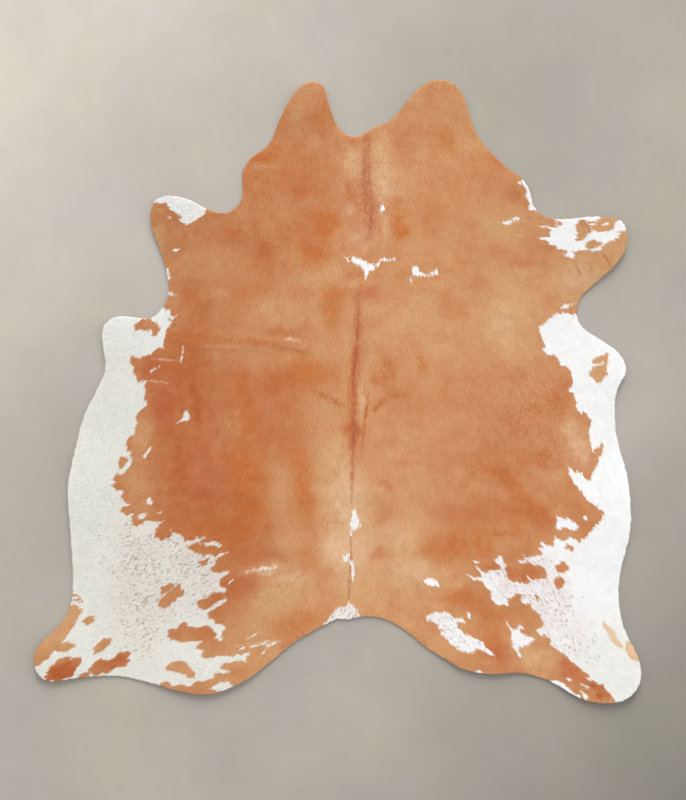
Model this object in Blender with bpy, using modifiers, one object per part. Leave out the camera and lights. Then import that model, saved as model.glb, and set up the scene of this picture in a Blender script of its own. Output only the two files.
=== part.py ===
"""A cowhide rug: one tanned hide with its short hair on, lying flat.

Metres. +Z is up, +Y runs along the spine towards the neck, and +X is to the right seen from above.
The origin lies on the floor, under the middle of the rug's box.
"""

from collections import namedtuple
from math import cos, hypot, pi

import bmesh
import bpy

# Driving dimensions
RUG_WIDTH = 2.000  # across the hind legs
RUG_LENGTH = 2.055  # from the hind legs to the neck flaps
LEATHER = 0.0020  # thickness of the tanned skin
COAT = 0.0026  # height of the short hair that lies on the skin
THICKNESS = LEATHER + COAT

# Fineness of the mesh
CELL = 0.055  # side of one square of the sheet
EDGE_STEPS = 3  # straight runs between two points of the outline
SPARE_CLOTH = 0.05  # how far the uncut sheet reaches past the outline
CUTTER_HEIGHT = 0.20

HAIR_TAN = (0.578, 0.235, 0.091, 1.0)
HAIR_ROUGHNESS = 0.62

# The cut edge, clockwise from the left neck flap. Each stretch is a row of points (x, y).
# The closest points stand where the edge turns most, and a smooth curve runs through them all.
OUTLINE = {
    "left neck flap": (
        (-0.193, 0.895), (-0.158, 0.962), (-0.122, 1.007), (-0.088, 1.020), (-0.057, 1.015),
        (-0.039, 0.987), (-0.028, 0.941),
    ),
    "neck notch": ((0.002, 0.872), (0.051, 0.839), (0.117, 0.869), (0.170, 0.892)),
    "right neck flap": (
        (0.239, 0.968), (0.276, 1.007), (0.335, 1.027), (0.381, 1.014), (0.411, 0.978),
        (0.427, 0.928),
    ),
    "right neck": (
        (0.464, 0.839), (0.507, 0.786), (0.566, 0.730), (0.602, 0.707), (0.625, 0.674),
        (0.639, 0.628), (0.652, 0.595), (0.695, 0.572),
    ),
    "right foreleg": (
        (0.754, 0.568), (0.823, 0.575), (0.873, 0.575), (0.926, 0.565), (0.949, 0.535),
        (0.952, 0.493), (0.939, 0.450), (0.896, 0.400), (0.837, 0.347),
    ),
    "right elbow": ((0.800, 0.308), (0.787, 0.265), (0.797, 0.222), (0.837, 0.189)),
    "right belly": (
        (0.893, 0.153), (0.936, 0.113), (0.949, 0.067), (0.936, 0.037), (0.919, 0.004),
        (0.912, -0.062), (0.916, -0.134), (0.929, -0.194), (0.949, -0.260), (0.962, -0.359),
        (0.962, -0.461), (0.949, -0.521), (0.926, -0.623), (0.926, -0.682),
    ),
    "right hind leg": (
        (0.932, -0.745), (0.955, -0.811), (0.978, -0.854), (0.995, -0.900), (0.998, -0.943),
        (0.985, -0.979), (0.952, -1.012), (0.909, -1.025), (0.863, -1.025), (0.813, -1.016),
        (0.761, -0.989), (0.711, -0.959), (0.652, -0.936),
    ),
    "right rump": (
        (0.592, -0.926), (0.530, -0.930), (0.464, -0.926), (0.411, -0.913), (0.351, -0.877),
        (0.295, -0.844), (0.243, -0.801), (0.206, -0.775),
    ),
    "tail head": (
        (0.140, -0.745), (0.097, -0.741), (0.058, -0.745), (0.031, -0.752), (0.002, -0.748),
        (-0.025, -0.758), (-0.048, -0.771),
    ),
    "left rump": (
        (-0.104, -0.801), (-0.160, -0.837), (-0.229, -0.897), (-0.285, -0.940), (-0.348, -0.973),
        (-0.401, -0.992), (-0.457, -0.996), (-0.526, -0.986), (-0.596, -0.966), (-0.701, -0.940),
    ),
    "left hind leg": (
        (-0.771, -0.936), (-0.840, -0.940), (-0.909, -0.950), (-0.965, -0.950), (-0.992, -0.923),
        (-1.001, -0.890), (-0.995, -0.854), (-0.965, -0.818), (-0.922, -0.778), (-0.889, -0.732),
    ),
    "left belly": (
        (-0.876, -0.682), (-0.873, -0.606), (-0.879, -0.501), (-0.886, -0.398), (-0.889, -0.326),
        (-0.883, -0.276), (-0.870, -0.214), (-0.850, -0.128), (-0.827, -0.059), (-0.790, 0.011),
        (-0.767, 0.067), (-0.767, 0.106), (-0.774, 0.153), (-0.774, 0.202), (-0.751, 0.238),
    ),
    "left elbow": (
        (-0.705, 0.248), (-0.652, 0.242), (-0.609, 0.245), (-0.579, 0.271), (-0.556, 0.321),
        (-0.563, 0.390),
    ),
    "left foreleg": (
        (-0.586, 0.466), (-0.612, 0.539), (-0.615, 0.601), (-0.592, 0.634), (-0.549, 0.644),
        (-0.487, 0.631), (-0.431, 0.601),
    ),
    "left neck": (
        (-0.378, 0.588), (-0.351, 0.595), (-0.315, 0.638), (-0.312, 0.730), (-0.289, 0.766),
        (-0.229, 0.813),
    ),
}

# Places where the dried edge lifts off the floor in a low round swell.
Swell = namedtuple("Swell", "place x y reach rise")
SWELLS = (
    Swell("left neck flap", -0.090, 1.020, 0.26, 0.0070),
    Swell("right neck flap", 0.335, 1.030, 0.24, 0.0055),
    Swell("right neck", 0.600, 0.720, 0.17, 0.0050),
    Swell("right foreleg", 0.950, 0.500, 0.28, 0.0080),
    Swell("right elbow", 0.955, 0.070, 0.22, 0.0060),
    Swell("right belly", 0.965, -0.420, 0.24, 0.0060),
    Swell("right hind leg", 0.960, -1.000, 0.30, 0.0085),
    Swell("right rump", 0.470, -0.930, 0.22, 0.0060),
    Swell("left rump", -0.420, -1.000, 0.28, 0.0080),
    Swell("left hind leg", -0.990, -0.900, 0.28, 0.0080),
    Swell("left belly", -0.890, -0.330, 0.22, 0.0050),
    Swell("left elbow", -0.770, 0.230, 0.22, 0.0060),
    Swell("left foreleg", -0.600, 0.630, 0.24, 0.0070),
)


def clear_scene():
    for old in list(bpy.data.objects):
        bpy.data.objects.remove(old, do_unlink=True)


def new_collection(name):
    made = bpy.data.collections.new(name)
    bpy.context.scene.collection.children.link(made)
    return made


def hair_material():
    made = bpy.data.materials.new("tan_hair")
    made.use_nodes = True
    shader = made.node_tree.nodes["Principled BSDF"]
    shader.inputs["Base Color"].default_value = HAIR_TAN
    shader.inputs["Roughness"].default_value = HAIR_ROUGHNESS
    shader.inputs["Metallic"].default_value = 0.0
    return made


def outline_curve():
    """The hide's outline as a filled flat curve, as thick as the cutter is high."""
    curve = bpy.data.curves.new("outline", "CURVE")
    curve.dimensions = "2D"
    curve.fill_mode = "BOTH"
    curve.extrude = CUTTER_HEIGHT / 2
    curve.resolution_u = EDGE_STEPS
    points = [point for stretch in OUTLINE.values() for point in stretch]
    spline = curve.splines.new("BEZIER")
    spline.bezier_points.add(len(points) - 1)
    for knot, (x, y) in zip(spline.bezier_points, points):
        knot.co = (x, y, 0.0)
        knot.handle_left_type = "AUTO"
        knot.handle_right_type = "AUTO"
    spline.use_cyclic_u = True
    return bpy.data.objects.new("outline", curve)


def outline_cutter(collection):
    """A closed prism on the outline, as wide and as long as the rug, with its middle over the origin."""
    curve = outline_curve()
    collection.objects.link(curve)
    bpy.context.view_layer.update()
    evaluated = curve.evaluated_get(bpy.context.evaluated_depsgraph_get())
    mesh = bpy.data.meshes.new_from_object(evaluated)
    bpy.data.objects.remove(curve, do_unlink=True)

    shape = bmesh.new()
    shape.from_mesh(mesh)
    bmesh.ops.remove_doubles(shape, verts=shape.verts, dist=1e-5)
    across = [corner.co.x for corner in shape.verts]
    along = [corner.co.y for corner in shape.verts]
    width = max(across) - min(across)
    length = max(along) - min(along)
    middle = ((max(across) + min(across)) / 2, (max(along) + min(along)) / 2, 0.0)
    bmesh.ops.translate(shape, verts=shape.verts, vec=[-place for place in middle])
    bmesh.ops.scale(shape, verts=shape.verts, vec=(RUG_WIDTH / width, RUG_LENGTH / length, 1.0))
    bmesh.ops.recalc_face_normals(shape, faces=shape.faces)
    shape.to_mesh(mesh)
    shape.free()

    cutter = bpy.data.objects.new("outline_cutter", mesh)
    cutter.hide_render = True
    cutter.display_type = "WIRE"
    collection.objects.link(cutter)
    return cutter


def lift(x, y):
    """Height of the hide's underside above the floor: zero but for the swells at the edge."""
    height = 0.0
    for swell in SWELLS:
        share = hypot(x - swell.x, y - swell.y) / swell.reach
        if share < 1.0:
            height = max(height, swell.rise * (1.0 + cos(pi * share)) / 2)
    return height


def uncut_sheet(collection):
    """The underside of the hide as a grid that reaches past the outline and follows the swells."""
    columns = round((RUG_WIDTH + 2 * SPARE_CLOTH) / CELL)
    rows = round((RUG_LENGTH + 2 * SPARE_CLOTH) / CELL)
    shape = bmesh.new()
    bmesh.ops.create_grid(shape, x_segments=columns, y_segments=rows, size=0.5)
    bmesh.ops.scale(shape, verts=shape.verts, vec=(columns * CELL, rows * CELL, 1.0))
    for corner in shape.verts:
        corner.co.z = lift(corner.co.x, corner.co.y)
    mesh = bpy.data.meshes.new("cowhide")
    shape.to_mesh(mesh)
    shape.free()
    sheet = bpy.data.objects.new("cowhide", mesh)
    collection.objects.link(sheet)
    return sheet


def build_cowhide(rug_parts, cutters):
    """The hide: the sheet made as thick as leather and coat, then cut to the outline."""
    hide = uncut_sheet(rug_parts)
    hide.data.materials.append(hair_material())

    thicken = hide.modifiers.new("leather_and_coat", "SOLIDIFY")
    thicken.thickness = THICKNESS
    thicken.offset = 1.0

    cut = hide.modifiers.new("cut_to_outline", "BOOLEAN")
    cut.operation = "INTERSECT"
    cut.solver = "EXACT"
    cut.object = outline_cutter(cutters)
    return hide


def main():
    clear_scene()
    build_cowhide(new_collection("cowhide_rug"), new_collection("cutters"))


main()
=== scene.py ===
"""A hair-on cowhide rug on a pale floor, seen straight from above with its neck up.

Metres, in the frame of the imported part: +Z is up, +Y runs along the spine towards the neck.
The hide is one thin closed sheet of skin. Four layers of short locks lie on it. Each lock is a flat
blade that tapers to its tip, follows the way the hair grows and has the colour of its marking.
"""

from math import cos, radians, sin

import bmesh
import bpy
import numpy as np
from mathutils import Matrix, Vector
from mathutils.bvhtree import BVHTree
from mathutils.geometry import delaunay_2d_cdt


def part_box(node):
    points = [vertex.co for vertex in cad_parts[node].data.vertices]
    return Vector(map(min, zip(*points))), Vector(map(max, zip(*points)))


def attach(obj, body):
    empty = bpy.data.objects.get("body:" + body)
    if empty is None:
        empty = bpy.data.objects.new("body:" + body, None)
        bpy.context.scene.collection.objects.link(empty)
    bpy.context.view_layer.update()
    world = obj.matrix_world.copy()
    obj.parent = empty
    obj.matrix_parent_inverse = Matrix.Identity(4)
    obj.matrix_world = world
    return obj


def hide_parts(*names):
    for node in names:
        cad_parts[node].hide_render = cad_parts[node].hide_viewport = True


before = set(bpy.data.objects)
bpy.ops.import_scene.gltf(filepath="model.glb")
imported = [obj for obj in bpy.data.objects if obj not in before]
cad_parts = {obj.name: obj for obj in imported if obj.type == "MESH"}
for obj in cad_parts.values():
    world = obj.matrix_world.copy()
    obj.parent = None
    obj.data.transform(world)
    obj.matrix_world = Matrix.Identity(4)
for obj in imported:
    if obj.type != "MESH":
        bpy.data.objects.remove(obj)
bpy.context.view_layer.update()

# The hide
LEATHER = 0.0020  # thickness of the tanned skin
SKIN_INSET = 0.0015  # how far the skin's cut edge stays inside the outline
RIM_STEP = 0.006  # distance between two points of the cut edge
TOP_STEP = 0.0105  # fineness of the hair side
BACK_STEP = 0.020  # fineness of the flesh side
SKIN_SCATTER = 0.12  # how far the skin's points stray from an even grid, in steps
RIM_GAP = 0.6  # how far they stay away from the cut edge, in steps
MAP_STEP = 0.005  # fineness of the edge map
MARGIN = 0.02  # reach of the maps past the hide, and of a mark's distance values past its box
MEAN_HEIGHT = 0.0011  # of the skin's low waves

# The hair
LAYERS = 4
LOCK_STEP = 0.00362  # distance between the roots of two neighbouring locks
LOCK_SCATTER = 0.42  # how far a root strays from an even grid, in steps
LOCK_LENGTH = (0.011, 0.018)
SHORTEST = 0.003  # locks that the outline would cut shorter than this are left out
LOCK_HALF_WIDTH = (0.0010, 0.0017)
HEADING_SPREAD = 7  # degrees
COLOUR_PLACE, COLOUR_SHARE = 0.0100, 0.8  # a lock's marking is read this far out, or at this share
OVERHANG = (-0.001, 0.004)  # how far tips reach past the outline
ROOT_INSET = 0.0004  # how far roots stay inside the outline
ROOT_SINK = 0.0003  # how deep a root is set in the skin
EDGE_LIFT = 0.0010  # and how much higher it stands at the outline
EDGE_REACH = 0.010  # and near it
BELLY_RISE = (0.0005, 0.0009)  # height of a lock's middle over the skin
TIP_RISE = (0.0006, 0.0012)
DROOP_START, DROOP_LENGTH = 0.012, 0.016  # from this far inside the outline, locks lie flatter outwards,
DROOP_LEAST = 0.65  # down to this share of their rise
CELLS = 256  # locks of a layer in one row of its texture map

# The markings
RAGGED = 0.0026  # how far the marks' edges wander from where they are drawn
FRAYED = 0.0007  # and how far single hairs cross them
WHITE_INSET = 0.0007  # white hairs spread this far over the brown ones
SPOT_INSET = 0.0006  # and small white spots look wider still
DOT_STEP = 0.0088  # mean distance between two brown dots in the white
DOT_RADIUS = (0.0017, 0.0016)  # the least radius of a dot, and how much more it may be
DOT_FRAYED = 0.0003

# The camera, the floor and the light
CAMERA_HEIGHT = 6.0
PICTURE_HEIGHT = 2.640  # what the picture shows of the floor, from top to bottom
PICTURE_MIDDLE = (0.018, -0.029)
SENSOR = 36.0
FLOOR_REACH = 40.0
FLOOR_LEVEL = -0.0003
DAYLIGHT = (1.0, 0.985, 0.965)
SKY_STRENGTH = 0.60
WINDOW_WIDTH = 32  # degrees
# Each window: how far right of the neck's direction and how high it stands, in degrees, and its energy.
WINDOWS = {"window": (4, 16, 4.45), "left window": (-58, 13, 0.85), "right window": (78, 13, 1.15)}

# Hair and skin colours, in the usual 0 to 255 of a screen
COLOURS = {
    "tan": (203, 140, 94),
    "ruddy": (193, 111, 61),
    "rosy": (196, 112, 72),
    "orange": (198, 112, 51),
    "golden": (213, 166, 118),
    "cream": (229, 194, 158),
    "deep": (185, 97, 50),
    "deep red": (192, 96, 62),
    # dark hair along the spine, with painted shade of the crease down it
    "spine line and crease shade": (178, 96, 68),
    "white": (246, 248, 250),
    # painted shade: the white painted greyer on the hide's left side
    "left white in painted shade": (233, 234, 227),
    "rosy white": (232, 210, 203),
    "foot white": (235, 235, 232),
    "fleck": (163, 130, 118),
}


def linear(colour):
    """A 0 to 255 screen colour as the linear values that shaders take."""
    share = np.asarray(colour, float) / 255
    return np.where(share <= 0.04045, share / 12.92, ((share + 0.055) / 1.055) ** 2.4)


PAINT = {name: linear(colour) for name, colour in COLOURS.items()}

# ---------------------------------------------------------------------------------------------
# The markings, as closed outlines (x, y). Where they reach past the hide's edge they are only roughly
# drawn. White fields come first, then the brown islets in them, then the white spots in the brown.

WHITE_FIELDS = {
    "left foreleg": (
        (-0.602, 0.621), (-0.566, 0.618), (-0.549, 0.595), (-0.523, 0.582), (-0.52, 0.559),
        (-0.5, 0.547), (-0.47, 0.562), (-0.437, 0.578), (-0.434, 0.598), (-0.427, 0.631), (-0.44, 0.68),
        (-0.66, 0.68),
    ),
    "left belly and hind leg": (
        (-0.569, 0.278), (-0.557, 0.269), (-0.544, 0.246), (-0.527, 0.251), (-0.541, 0.238),
        (-0.553, 0.22), (-0.563, 0.203), (-0.564, 0.19), (-0.574, 0.166), (-0.571, 0.134),
        (-0.582, 0.143), (-0.591, 0.145), (-0.605, 0.13), (-0.615, 0.12), (-0.632, 0.114),
        (-0.645, 0.113), (-0.658, 0.106), (-0.668, 0.113), (-0.679, 0.111), (-0.685, 0.107),
        (-0.686, 0.097), (-0.68, 0.086), (-0.674, 0.081), (-0.672, 0.059), (-0.665, 0.045),
        (-0.657, 0.028), (-0.639, 0.032), (-0.63, 0.042), (-0.637, 0.011), (-0.632, 0.001),
        (-0.639, -0.022), (-0.631, -0.031), (-0.632, -0.052), (-0.646, -0.061), (-0.658, -0.072),
        (-0.667, -0.098), (-0.667, -0.118), (-0.67, -0.143), (-0.683, -0.148), (-0.693, -0.161),
        (-0.697, -0.197), (-0.685, -0.202), (-0.68, -0.22), (-0.683, -0.243), (-0.694, -0.261),
        (-0.712, -0.28), (-0.728, -0.271), (-0.739, -0.292), (-0.732, -0.298), (-0.744, -0.308),
        (-0.741, -0.319), (-0.731, -0.327), (-0.714, -0.327), (-0.707, -0.336), (-0.714, -0.352),
        (-0.7, -0.365), (-0.68, -0.375), (-0.714, -0.386), (-0.709, -0.403), (-0.697, -0.408),
        (-0.673, -0.406), (-0.68, -0.42), (-0.68, -0.43), (-0.672, -0.451), (-0.649, -0.441),
        (-0.632, -0.431), (-0.619, -0.428), (-0.602, -0.428), (-0.592, -0.433), (-0.563, -0.422),
        (-0.588, -0.441), (-0.602, -0.456), (-0.602, -0.48), (-0.59, -0.484), (-0.582, -0.493),
        (-0.568, -0.483), (-0.551, -0.481), (-0.543, -0.469), (-0.556, -0.461), (-0.526, -0.468),
        (-0.52, -0.475), (-0.508, -0.481), (-0.507, -0.492), (-0.482, -0.494), (-0.469, -0.491),
        (-0.466, -0.477), (-0.455, -0.492), (-0.444, -0.51), (-0.43, -0.53), (-0.411, -0.54),
        (-0.403, -0.554), (-0.402, -0.567), (-0.412, -0.58), (-0.422, -0.588), (-0.414, -0.594),
        (-0.403, -0.598), (-0.39, -0.597), (-0.372, -0.595), (-0.358, -0.599), (-0.366, -0.607),
        (-0.378, -0.613), (-0.388, -0.62), (-0.388, -0.632), (-0.394, -0.641), (-0.385, -0.642),
        (-0.372, -0.648), (-0.366, -0.656), (-0.37, -0.666), (-0.39, -0.664), (-0.404, -0.664),
        (-0.418, -0.671), (-0.432, -0.682), (-0.448, -0.688), (-0.46, -0.693), (-0.468, -0.702),
        (-0.458, -0.714), (-0.444, -0.72), (-0.43, -0.718), (-0.418, -0.711), (-0.404, -0.702),
        (-0.394, -0.692), (-0.38, -0.69), (-0.37, -0.684), (-0.362, -0.693), (-0.372, -0.7),
        (-0.388, -0.707), (-0.4, -0.716), (-0.414, -0.723), (-0.426, -0.732), (-0.429, -0.741),
        (-0.424, -0.752), (-0.412, -0.754), (-0.405, -0.764), (-0.388, -0.77), (-0.378, -0.775),
        (-0.372, -0.787), (-0.38, -0.797), (-0.384, -0.81), (-0.378, -0.824), (-0.392, -0.824),
        (-0.434, -0.82), (-0.448, -0.829), (-0.462, -0.835), (-0.466, -0.842), (-0.456, -0.849),
        (-0.445, -0.853), (-0.45, -0.862), (-0.452, -0.874), (-0.44, -0.88), (-0.425, -0.882),
        (-0.408, -0.878), (-0.398, -0.873), (-0.37, -0.873), (-0.345, -0.873), (-0.325, -0.867),
        (-0.305, -0.864), (-0.292, -0.86), (-0.296, -0.87), (-0.292, -0.876), (-0.302, -0.882),
        (-0.304, -0.888), (-0.292, -0.896), (-0.308, -0.893), (-0.318, -0.889), (-0.335, -0.89),
        (-0.352, -0.896), (-0.375, -0.897), (-0.383, -0.903), (-0.388, -0.911), (-0.375, -0.917),
        (-0.362, -0.917), (-0.352, -0.92), (-0.353, -0.928), (-0.366, -0.927), (-0.38, -0.93),
        (-0.395, -0.93), (-0.408, -0.935), (-0.408, -0.945), (-0.424, -0.949), (-0.44, -0.955),
        (-0.46, -0.959), (-0.474, -0.96), (-0.478, -0.968), (-0.49, -0.975), (-0.513, -0.969),
        (-0.551, -0.975), (-0.557, -0.957), (-0.584, -0.963), (-0.6, -1.06), (-1.08, -1.06),
        (-1.08, 0.3),
    ),
    "left rump edge": (
        (-0.427, -0.981), (-0.415, -0.972), (-0.402, -0.965), (-0.385, -0.958), (-0.362, -0.958),
        (-0.352, -0.963), (-0.338, -0.972), (-0.36, -1.01), (-0.4, -1.01), (-0.398, -0.991),
        (-0.412, -0.985),
    ),
    "right shoulder edge": (
        (0.59, 0.686), (0.605, 0.687), (0.607, 0.699), (0.66, 0.7), (0.68, 0.6), (0.655, 0.594),
        (0.625, 0.598), (0.631, 0.608), (0.631, 0.628), (0.622, 0.638), (0.625, 0.655), (0.62, 0.669),
        (0.609, 0.679),
    ),
    "right foreleg": (
        (0.721, 0.564), (0.716, 0.551), (0.725, 0.546), (0.711, 0.541), (0.698, 0.546), (0.669, 0.543),
        (0.684, 0.539), (0.703, 0.534), (0.705, 0.522), (0.7, 0.509), (0.662, 0.5), (0.684, 0.495),
        (0.696, 0.492), (0.705, 0.479), (0.72, 0.479), (0.728, 0.468), (0.757, 0.463), (0.76, 0.456),
        (0.741, 0.45), (0.755, 0.445), (0.777, 0.436), (0.784, 0.448), (0.779, 0.457), (0.796, 0.463),
        (0.833, 0.465), (0.841, 0.455), (0.865, 0.465), (0.868, 0.473), (0.893, 0.487), (0.923, 0.505),
        (0.94, 0.516), (0.925, 0.522), (0.965, 0.532), (0.965, 0.62), (0.721, 0.62),
    ),
    "right belly and hind leg": (
        (0.787, 0.252), (0.724, 0.255), (0.698, 0.242), (0.665, 0.209), (0.668, 0.182), (0.688, 0.146),
        (0.675, 0.137), (0.688, 0.122), (0.704, 0.118), (0.719, 0.112), (0.729, 0.101), (0.738, 0.083),
        (0.754, 0.081), (0.77, 0.066), (0.772, 0.044), (0.778, 0.022), (0.772, 0.012), (0.759, 0.01),
        (0.766, -0.003), (0.78, -0.011), (0.78, -0.022), (0.787, -0.035), (0.784, -0.051),
        (0.795, -0.066), (0.804, -0.074), (0.82, -0.076), (0.837, -0.098), (0.835, -0.11),
        (0.829, -0.121), (0.829, -0.141), (0.833, -0.163), (0.837, -0.195), (0.843, -0.209),
        (0.85, -0.191), (0.863, -0.186), (0.876, -0.173), (0.879, -0.182), (0.873, -0.209),
        (0.863, -0.224), (0.853, -0.249), (0.842, -0.27), (0.832, -0.296), (0.82, -0.293),
        (0.811, -0.282), (0.807, -0.27), (0.795, -0.27), (0.784, -0.266), (0.772, -0.257),
        (0.759, -0.242), (0.762, -0.273), (0.774, -0.293), (0.784, -0.309), (0.797, -0.326),
        (0.811, -0.342), (0.82, -0.361), (0.837, -0.372), (0.858, -0.379), (0.858, -0.391),
        (0.876, -0.398), (0.878, -0.407), (0.874, -0.423), (0.86, -0.439), (0.842, -0.451),
        (0.832, -0.467), (0.825, -0.479), (0.802, -0.495), (0.784, -0.488), (0.765, -0.479),
        (0.758, -0.495), (0.744, -0.497), (0.733, -0.486), (0.719, -0.481), (0.714, -0.502),
        (0.703, -0.513), (0.688, -0.504), (0.668, -0.496), (0.679, -0.516), (0.665, -0.521),
        (0.675, -0.534), (0.672, -0.544), (0.661, -0.542), (0.629, -0.549), (0.608, -0.536),
        (0.622, -0.549), (0.596, -0.559), (0.605, -0.568), (0.634, -0.569), (0.655, -0.578),
        (0.673, -0.578), (0.684, -0.594), (0.69, -0.615), (0.664, -0.62), (0.648, -0.624),
        (0.621, -0.605), (0.637, -0.626), (0.622, -0.634), (0.581, -0.629), (0.563, -0.62),
        (0.557, -0.6), (0.559, -0.58), (0.557, -0.568), (0.54, -0.545), (0.516, -0.56), (0.531, -0.572),
        (0.54, -0.586), (0.531, -0.594), (0.508, -0.59), (0.499, -0.597), (0.478, -0.6), (0.46, -0.58),
        (0.472, -0.603), (0.475, -0.615), (0.451, -0.616), (0.422, -0.602), (0.448, -0.624),
        (0.472, -0.627), (0.49, -0.645), (0.502, -0.659), (0.508, -0.682), (0.522, -0.704),
        (0.536, -0.708), (0.551, -0.704), (0.562, -0.711), (0.565, -0.692), (0.56, -0.685),
        (0.575, -0.685), (0.587, -0.671), (0.605, -0.674), (0.608, -0.695), (0.622, -0.705),
        (0.637, -0.701), (0.643, -0.719), (0.655, -0.73), (0.667, -0.742), (0.68, -0.765),
        (0.67, -0.78), (0.658, -0.792), (0.67, -0.808), (0.681, -0.801), (0.701, -0.819),
        (0.705, -0.841), (0.734, -0.86), (0.757, -0.876), (0.771, -0.892), (0.794, -0.907),
        (0.81, -0.925), (0.827, -0.939), (0.829, -0.946), (0.815, -0.943), (0.827, -0.955),
        (0.85, -0.959), (0.86, -0.966), (0.873, -0.967), (0.883, -0.981), (0.896, -0.997),
        (0.912, -1.018), (0.92, -1.06), (1.06, -1.06), (1.06, 0.252),
    ),
    "right rump edge": (
        (0.711, -0.956), (0.734, -0.959), (0.747, -0.962), (0.764, -0.978), (0.776, -0.994),
        (0.799, -0.999), (0.8, -1.04), (0.7, -1.0),
    ),
    "tail head": (
        (-0.047, -0.771), (-0.026, -0.746), (-0.013, -0.733), (-0.004, -0.719), (0.012, -0.716),
        (0.028, -0.711), (0.039, -0.691), (0.044, -0.702), (0.053, -0.71), (0.063, -0.721),
        (0.074, -0.736), (0.076, -0.8), (-0.06, -0.8),
    ),
}

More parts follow.
